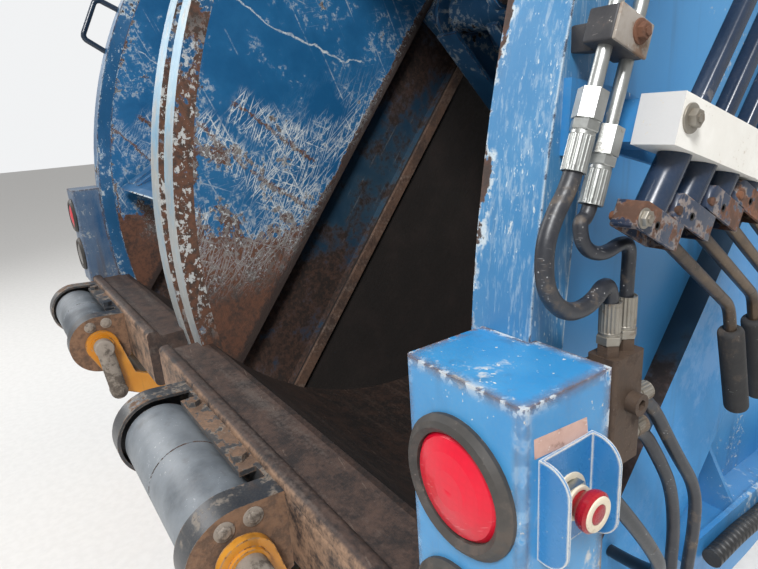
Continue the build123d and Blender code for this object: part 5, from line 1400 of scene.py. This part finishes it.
@dataclass
class BoxLabel(Bench):
    """Blank, worn film stuck beside the emergency button."""

    x: float = 1.193
    corners: tuple[Flat, ...] = ((-1.8876, 0.2412), (-1.8866, 0.2235), (-1.8216, 0.2185), (-1.8241, 0.236))
    film: float = 0.0003
    curl: Flat = (0.86, 0.0016)
    ripple: Flat = (900.0, 0.00012)

    def build(self) -> None:
        """Make the label."""
        label = self.fresh("box_label", bpy.ops.mesh.primitive_plane_add, size=1.0)
        order = ((-0.5, 0.5), (-0.5, -0.5), (0.5, -0.5), (0.5, 0.5))
        for vertex in label.data.vertices:
            index = min(range(4), key=lambda i: (vertex.co.x - order[i][0]) ** 2 + (vertex.co.y - order[i][1]) ** 2)
            vertex.co = (self.x, *self.corners[index])
        self.shape(label, every, bpy.ops.mesh.subdivide, number_cuts=9)
        self.shape(label, every, bpy.ops.mesh.normals_make_consistent, inside=False)
        for vertex in label.data.vertices:
            along = (vertex.co.y - self.corners[0][0]) / (self.corners[2][0] - self.corners[0][0])
            curl = self.curl[1] * max(0.0, along - self.curl[0])
            vertex.co.x += self.film + curl + self.ripple[1] * math.sin(vertex.co.y * self.ripple[0])
        thick = label.modifiers.new("film", "SOLIDIFY")
        thick.thickness = self.film
        thick.offset = -1.0
        bpy.context.view_layer.objects.active = label
        bpy.ops.object.modifier_apply(modifier="film")
        self.dress(label, "label_film", slot="white_plastic")


@dataclass
class LifterLinks(Bench):
    """Short links that hang beside each cart lifter's arms."""

    axis: Flat = (-1.974, -0.174)
    faces: tuple[tuple[str, float], ...] = (("left", -0.47), ("right", 0.722))
    length: float = 0.15
    lean: float = -84.0
    half: float = 0.025
    flat: float = 0.62
    sunk: float = 0.002
    end_step: Flat = (0.004, 0.003)
    boss_edge: float = 0.003

    def build(self) -> None:
        """Make the links."""
        angle = math.radians(self.lean)
        down = Vector((0.0, math.cos(angle), math.sin(angle)))
        for side, x in self.faces:
            name = f"lifter_{side}_link"
            bar = self.cylinder(name, self.half, self.length, 24)
            self.shape(bar, every, bpy.ops.transform.resize, value=(self.flat, 1.0, 1.0))
            self.inset(bar, ends, *self.end_step)
            self.put(bar, Place((x + self.half * self.flat, *self.axis), tuple(down)))
            parts = [bar]
            inner = Vector((x - self.sunk, *self.axis))
            end = inner + down * self.length
            for radius, height, spot in ((1.05, 1.5, end), (1.15, 1.3, inner)):
                boss = self.cylinder(name, self.half * radius, self.half * height, ROUND_SIDES)
                self.round_faces(boss, ends, self.boss_edge, 3)
                parts.append(self.put(boss, Place(tuple(spot))))
            bolt = HexBolt(0.012, 0.007, 0.017, 0.003).model(self, name)
            parts.append(self.put(bolt, Place((inner.x + self.half * 1.5, end.y, end.z))))
            self.dress(self.join(parts, name), "link_steel", f"cart_lifter_{side}", "worn_steel")


@dataclass
class Hose:
    """Hose held at both ends, along a smooth line through the air between them."""

    name: str
    radius: float
    length: float
    route: tuple[Point, ...]
    finish: str = "hose_rubber"
    replaces: str | None = "hydraulic_hoses"

    def build(self, finishes: Finishes) -> None:
        """Make the hose.

        Args:
            finishes: The materials.
        """
        data = bpy.data.curves.new(self.name, "CURVE")
        data.dimensions = "3D"
        data.resolution_u = 12
        data.bevel_depth = self.radius
        data.bevel_resolution = 5
        data.use_fill_caps = True
        line = data.splines.new("NURBS")
        line.points.add(len(self.route) - 1)
        for point, place in zip(line.points, self.route):
            point.co = (*place, 1.0)
        line.order_u = 3
        line.use_endpoint_u = True
        hose = bpy.data.objects.new(self.name, data)
        bpy.context.scene.collection.objects.link(hose)
        data.materials.append(finishes[self.finish])
        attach(hose, ROOT_BODY)
        if self.replaces:
            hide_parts(self.replaces)
        LOG.info("made %s", self.name)


HOSES = (
    Hose("hose_return", 0.008, 0.25, (
        (1.146, -1.7867, 0.4299), (1.146, -1.7923, 0.4149), (1.146, -1.812, 0.392), (1.148, -1.826, 0.366),
        (1.15, -1.824, 0.33), (1.15, -1.797, 0.306), (1.15, -1.764, 0.306), (1.148, -1.738, 0.322),
        (1.146, -1.727, 0.302), (1.146, -1.727, 0.274),
    )),
    Hose("hose_pressure", 0.0065, 0.195, (
        (1.146, -1.7624, 0.3999), (1.146, -1.7679, 0.3848), (1.147, -1.78, 0.384), (1.15, -1.777, 0.36),
        (1.152, -1.752, 0.35), (1.152, -1.724, 0.357), (1.149, -1.706, 0.35), (1.146, -1.702, 0.322),
        (1.146, -1.702, 0.274),
    )),
    Hose("hose_lower_rear", 0.0075, 0.42, (
        (1.146, -1.69, 0.146), (1.146, -1.664, 0.146), (1.154, -1.632, 0.092), (1.154, -1.6, 0.04),
        (1.152, -1.58, -0.03), (1.151, -1.578, -0.09), (1.152, -1.572, -0.16), (1.15, -1.56, -0.19),
        (1.103, -1.56, -0.19),
    )),
    Hose("hose_lower_front", 0.0075, 0.485, (
        (1.148, -1.69, 0.186), (1.148, -1.662, 0.186), (1.157, -1.606, 0.092), (1.16, -1.552, 0.02),
        (1.158, -1.542, -0.05), (1.156, -1.546, -0.11), (1.152, -1.534, -0.18), (1.15, -1.52, -0.2),
        (1.103, -1.52, -0.2),
    )),
    Hose("switch_cable", 0.008, 0.37, (
        (1.178, -1.794, 0.16), (1.18, -1.778, 0.14), (1.183, -1.735, 0.085), (1.182, -1.69, 0.026),
        (1.176, -1.65, -0.03), (1.15, -1.622, -0.075), (1.082, -1.6, -0.1),
    ), "cable_sleeve_rubber", None),
)


@dataclass
class Studio:
    """Floor, light and camera."""

    floor_z: float = -1.05
    floor_size: float = 60.0
    eye: Point = (1.444, -2.185, 0.484)
    ahead: Point = (-0.7951, 0.5329, -0.2894)
    right: Point = (0.5723, 0.8172, -0.0678)
    view_angle: float = 66.99
    sky_lighting: tuple[Colour, float] = ((1.0, 1.0, 1.0), 0.5)
    sky_seen: tuple[Colour, float] = ((0.93, 0.94, 0.95), 0.95)
    lamps: tuple[tuple[str, Point, Point, float, float], ...] = (
        ("key_lamp", (3.4, -4.6, 4.6), (0.0, -1.0, 0.3), 1.6, 430.0),
        ("fill_lamp", (-4.5, -4.0, 2.8), (0.0, -1.0, 0.3), 3.0, 110.0),
        ("front_lamp", (1.5, 4.5, 3.5), (0.0, -0.5, 0.6), 3.0, 160.0),
    )

    def floor(self) -> None:
        """Lay the pale floor."""
        bpy.ops.mesh.primitive_plane_add(size=self.floor_size, location=(0.0, 0.0, self.floor_z))
        floor = bpy.context.object
        floor.name = "studio_floor"
        shader = Shader("studio_floor_finish", (0.74, 0.73, 0.71))
        shader.coat((0.78, 0.77, 0.75), shader.noise(30.0, 3.0).rise(0.3, 0.7))
        floor.data.materials.append(shader.close(Roughness=0.85))

    def light(self) -> None:
        """Set up the sky and three soft lamps."""
        world = bpy.data.worlds.new("studio_sky")
        bpy.context.scene.world = world
        world.use_nodes = True
        nodes, links = world.node_tree.nodes, world.node_tree.links
        nodes.clear()
        output = nodes.new("ShaderNodeOutputWorld")
        blend = nodes.new("ShaderNodeMixShader")
        for number, (tint, strength) in enumerate((self.sky_lighting, self.sky_seen), 1):
            sky = nodes.new("ShaderNodeBackground")
            sky.inputs["Color"].default_value = (*tint, 1.0)
            sky.inputs["Strength"].default_value = strength
            links.new(sky.outputs[0], blend.inputs[number])
        links.new(nodes.new("ShaderNodeLightPath").outputs["Is Camera Ray"], blend.inputs[0])
        links.new(blend.outputs[0], output.inputs["Surface"])
        for name, place, aim, size, power in self.lamps:
            data = bpy.data.lights.new(name, "AREA")
            data.shape = "DISK"
            data.size = size
            data.energy = power
            lamp = bpy.data.objects.new(name, data)
            bpy.context.scene.collection.objects.link(lamp)
            lamp.location = place
            lamp.rotation_euler = (Vector(aim) - Vector(place)).to_track_quat("-Z", "Y").to_euler()

    def camera(self) -> None:
        """Place the camera at the photograph's angle."""
        data = bpy.data.cameras.new("photo_camera")
        data.sensor_fit = "HORIZONTAL"
        data.angle = math.radians(self.view_angle)
        data.clip_start = 0.02
        camera = bpy.data.objects.new("photo_camera", data)
        bpy.context.scene.collection.objects.link(camera)
        back = -Vector(self.ahead).normalized()
        right = Vector(self.right).normalized()
        up = back.cross(right)
        turn = Matrix((right, up, back)).transposed()
        camera.matrix_world = Matrix.Translation(self.eye) @ turn.to_4x4()
        bpy.context.scene.camera = camera

    def build(self) -> None:
        """Make the floor, the light and the camera."""
        self.floor()
        self.light()
        self.camera()


def dress_nodes(frame: dict[str, object], finishes: Finishes) -> None:
    """Give every CAD node its finish.

    Args:
        finishes: The materials.
    """
    for finish in FINISHES:
        for name in finish.nodes.split():
            materials = frame["nodes"][name].data.materials
            materials.clear()
            materials.append(finishes[finish.name])
            LOG.info("dressed %s with %s", name, finish.name)


def main() -> None:
    """Build the dressed tailgate."""
    logging.basicConfig(level=logging.INFO, format="%(name)s: %(message)s")
    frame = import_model()
    bpy.ops.object.select_all(action="DESELECT")
    Studio().build()
    finishes = Finishes()
    dress_nodes(frame, finishes)
    for hose in HOSES:
        hose.build(finishes)
    for assembly in (Fasteners, TubeClamp, ControlLevers, Ferrules, StopSwitch, BoxLabel, LifterLinks):
        assembly(finishes).build()
    bpy.context.scene.view_settings.view_transform = "Standard"


if __name__ == "__main__":
    main()
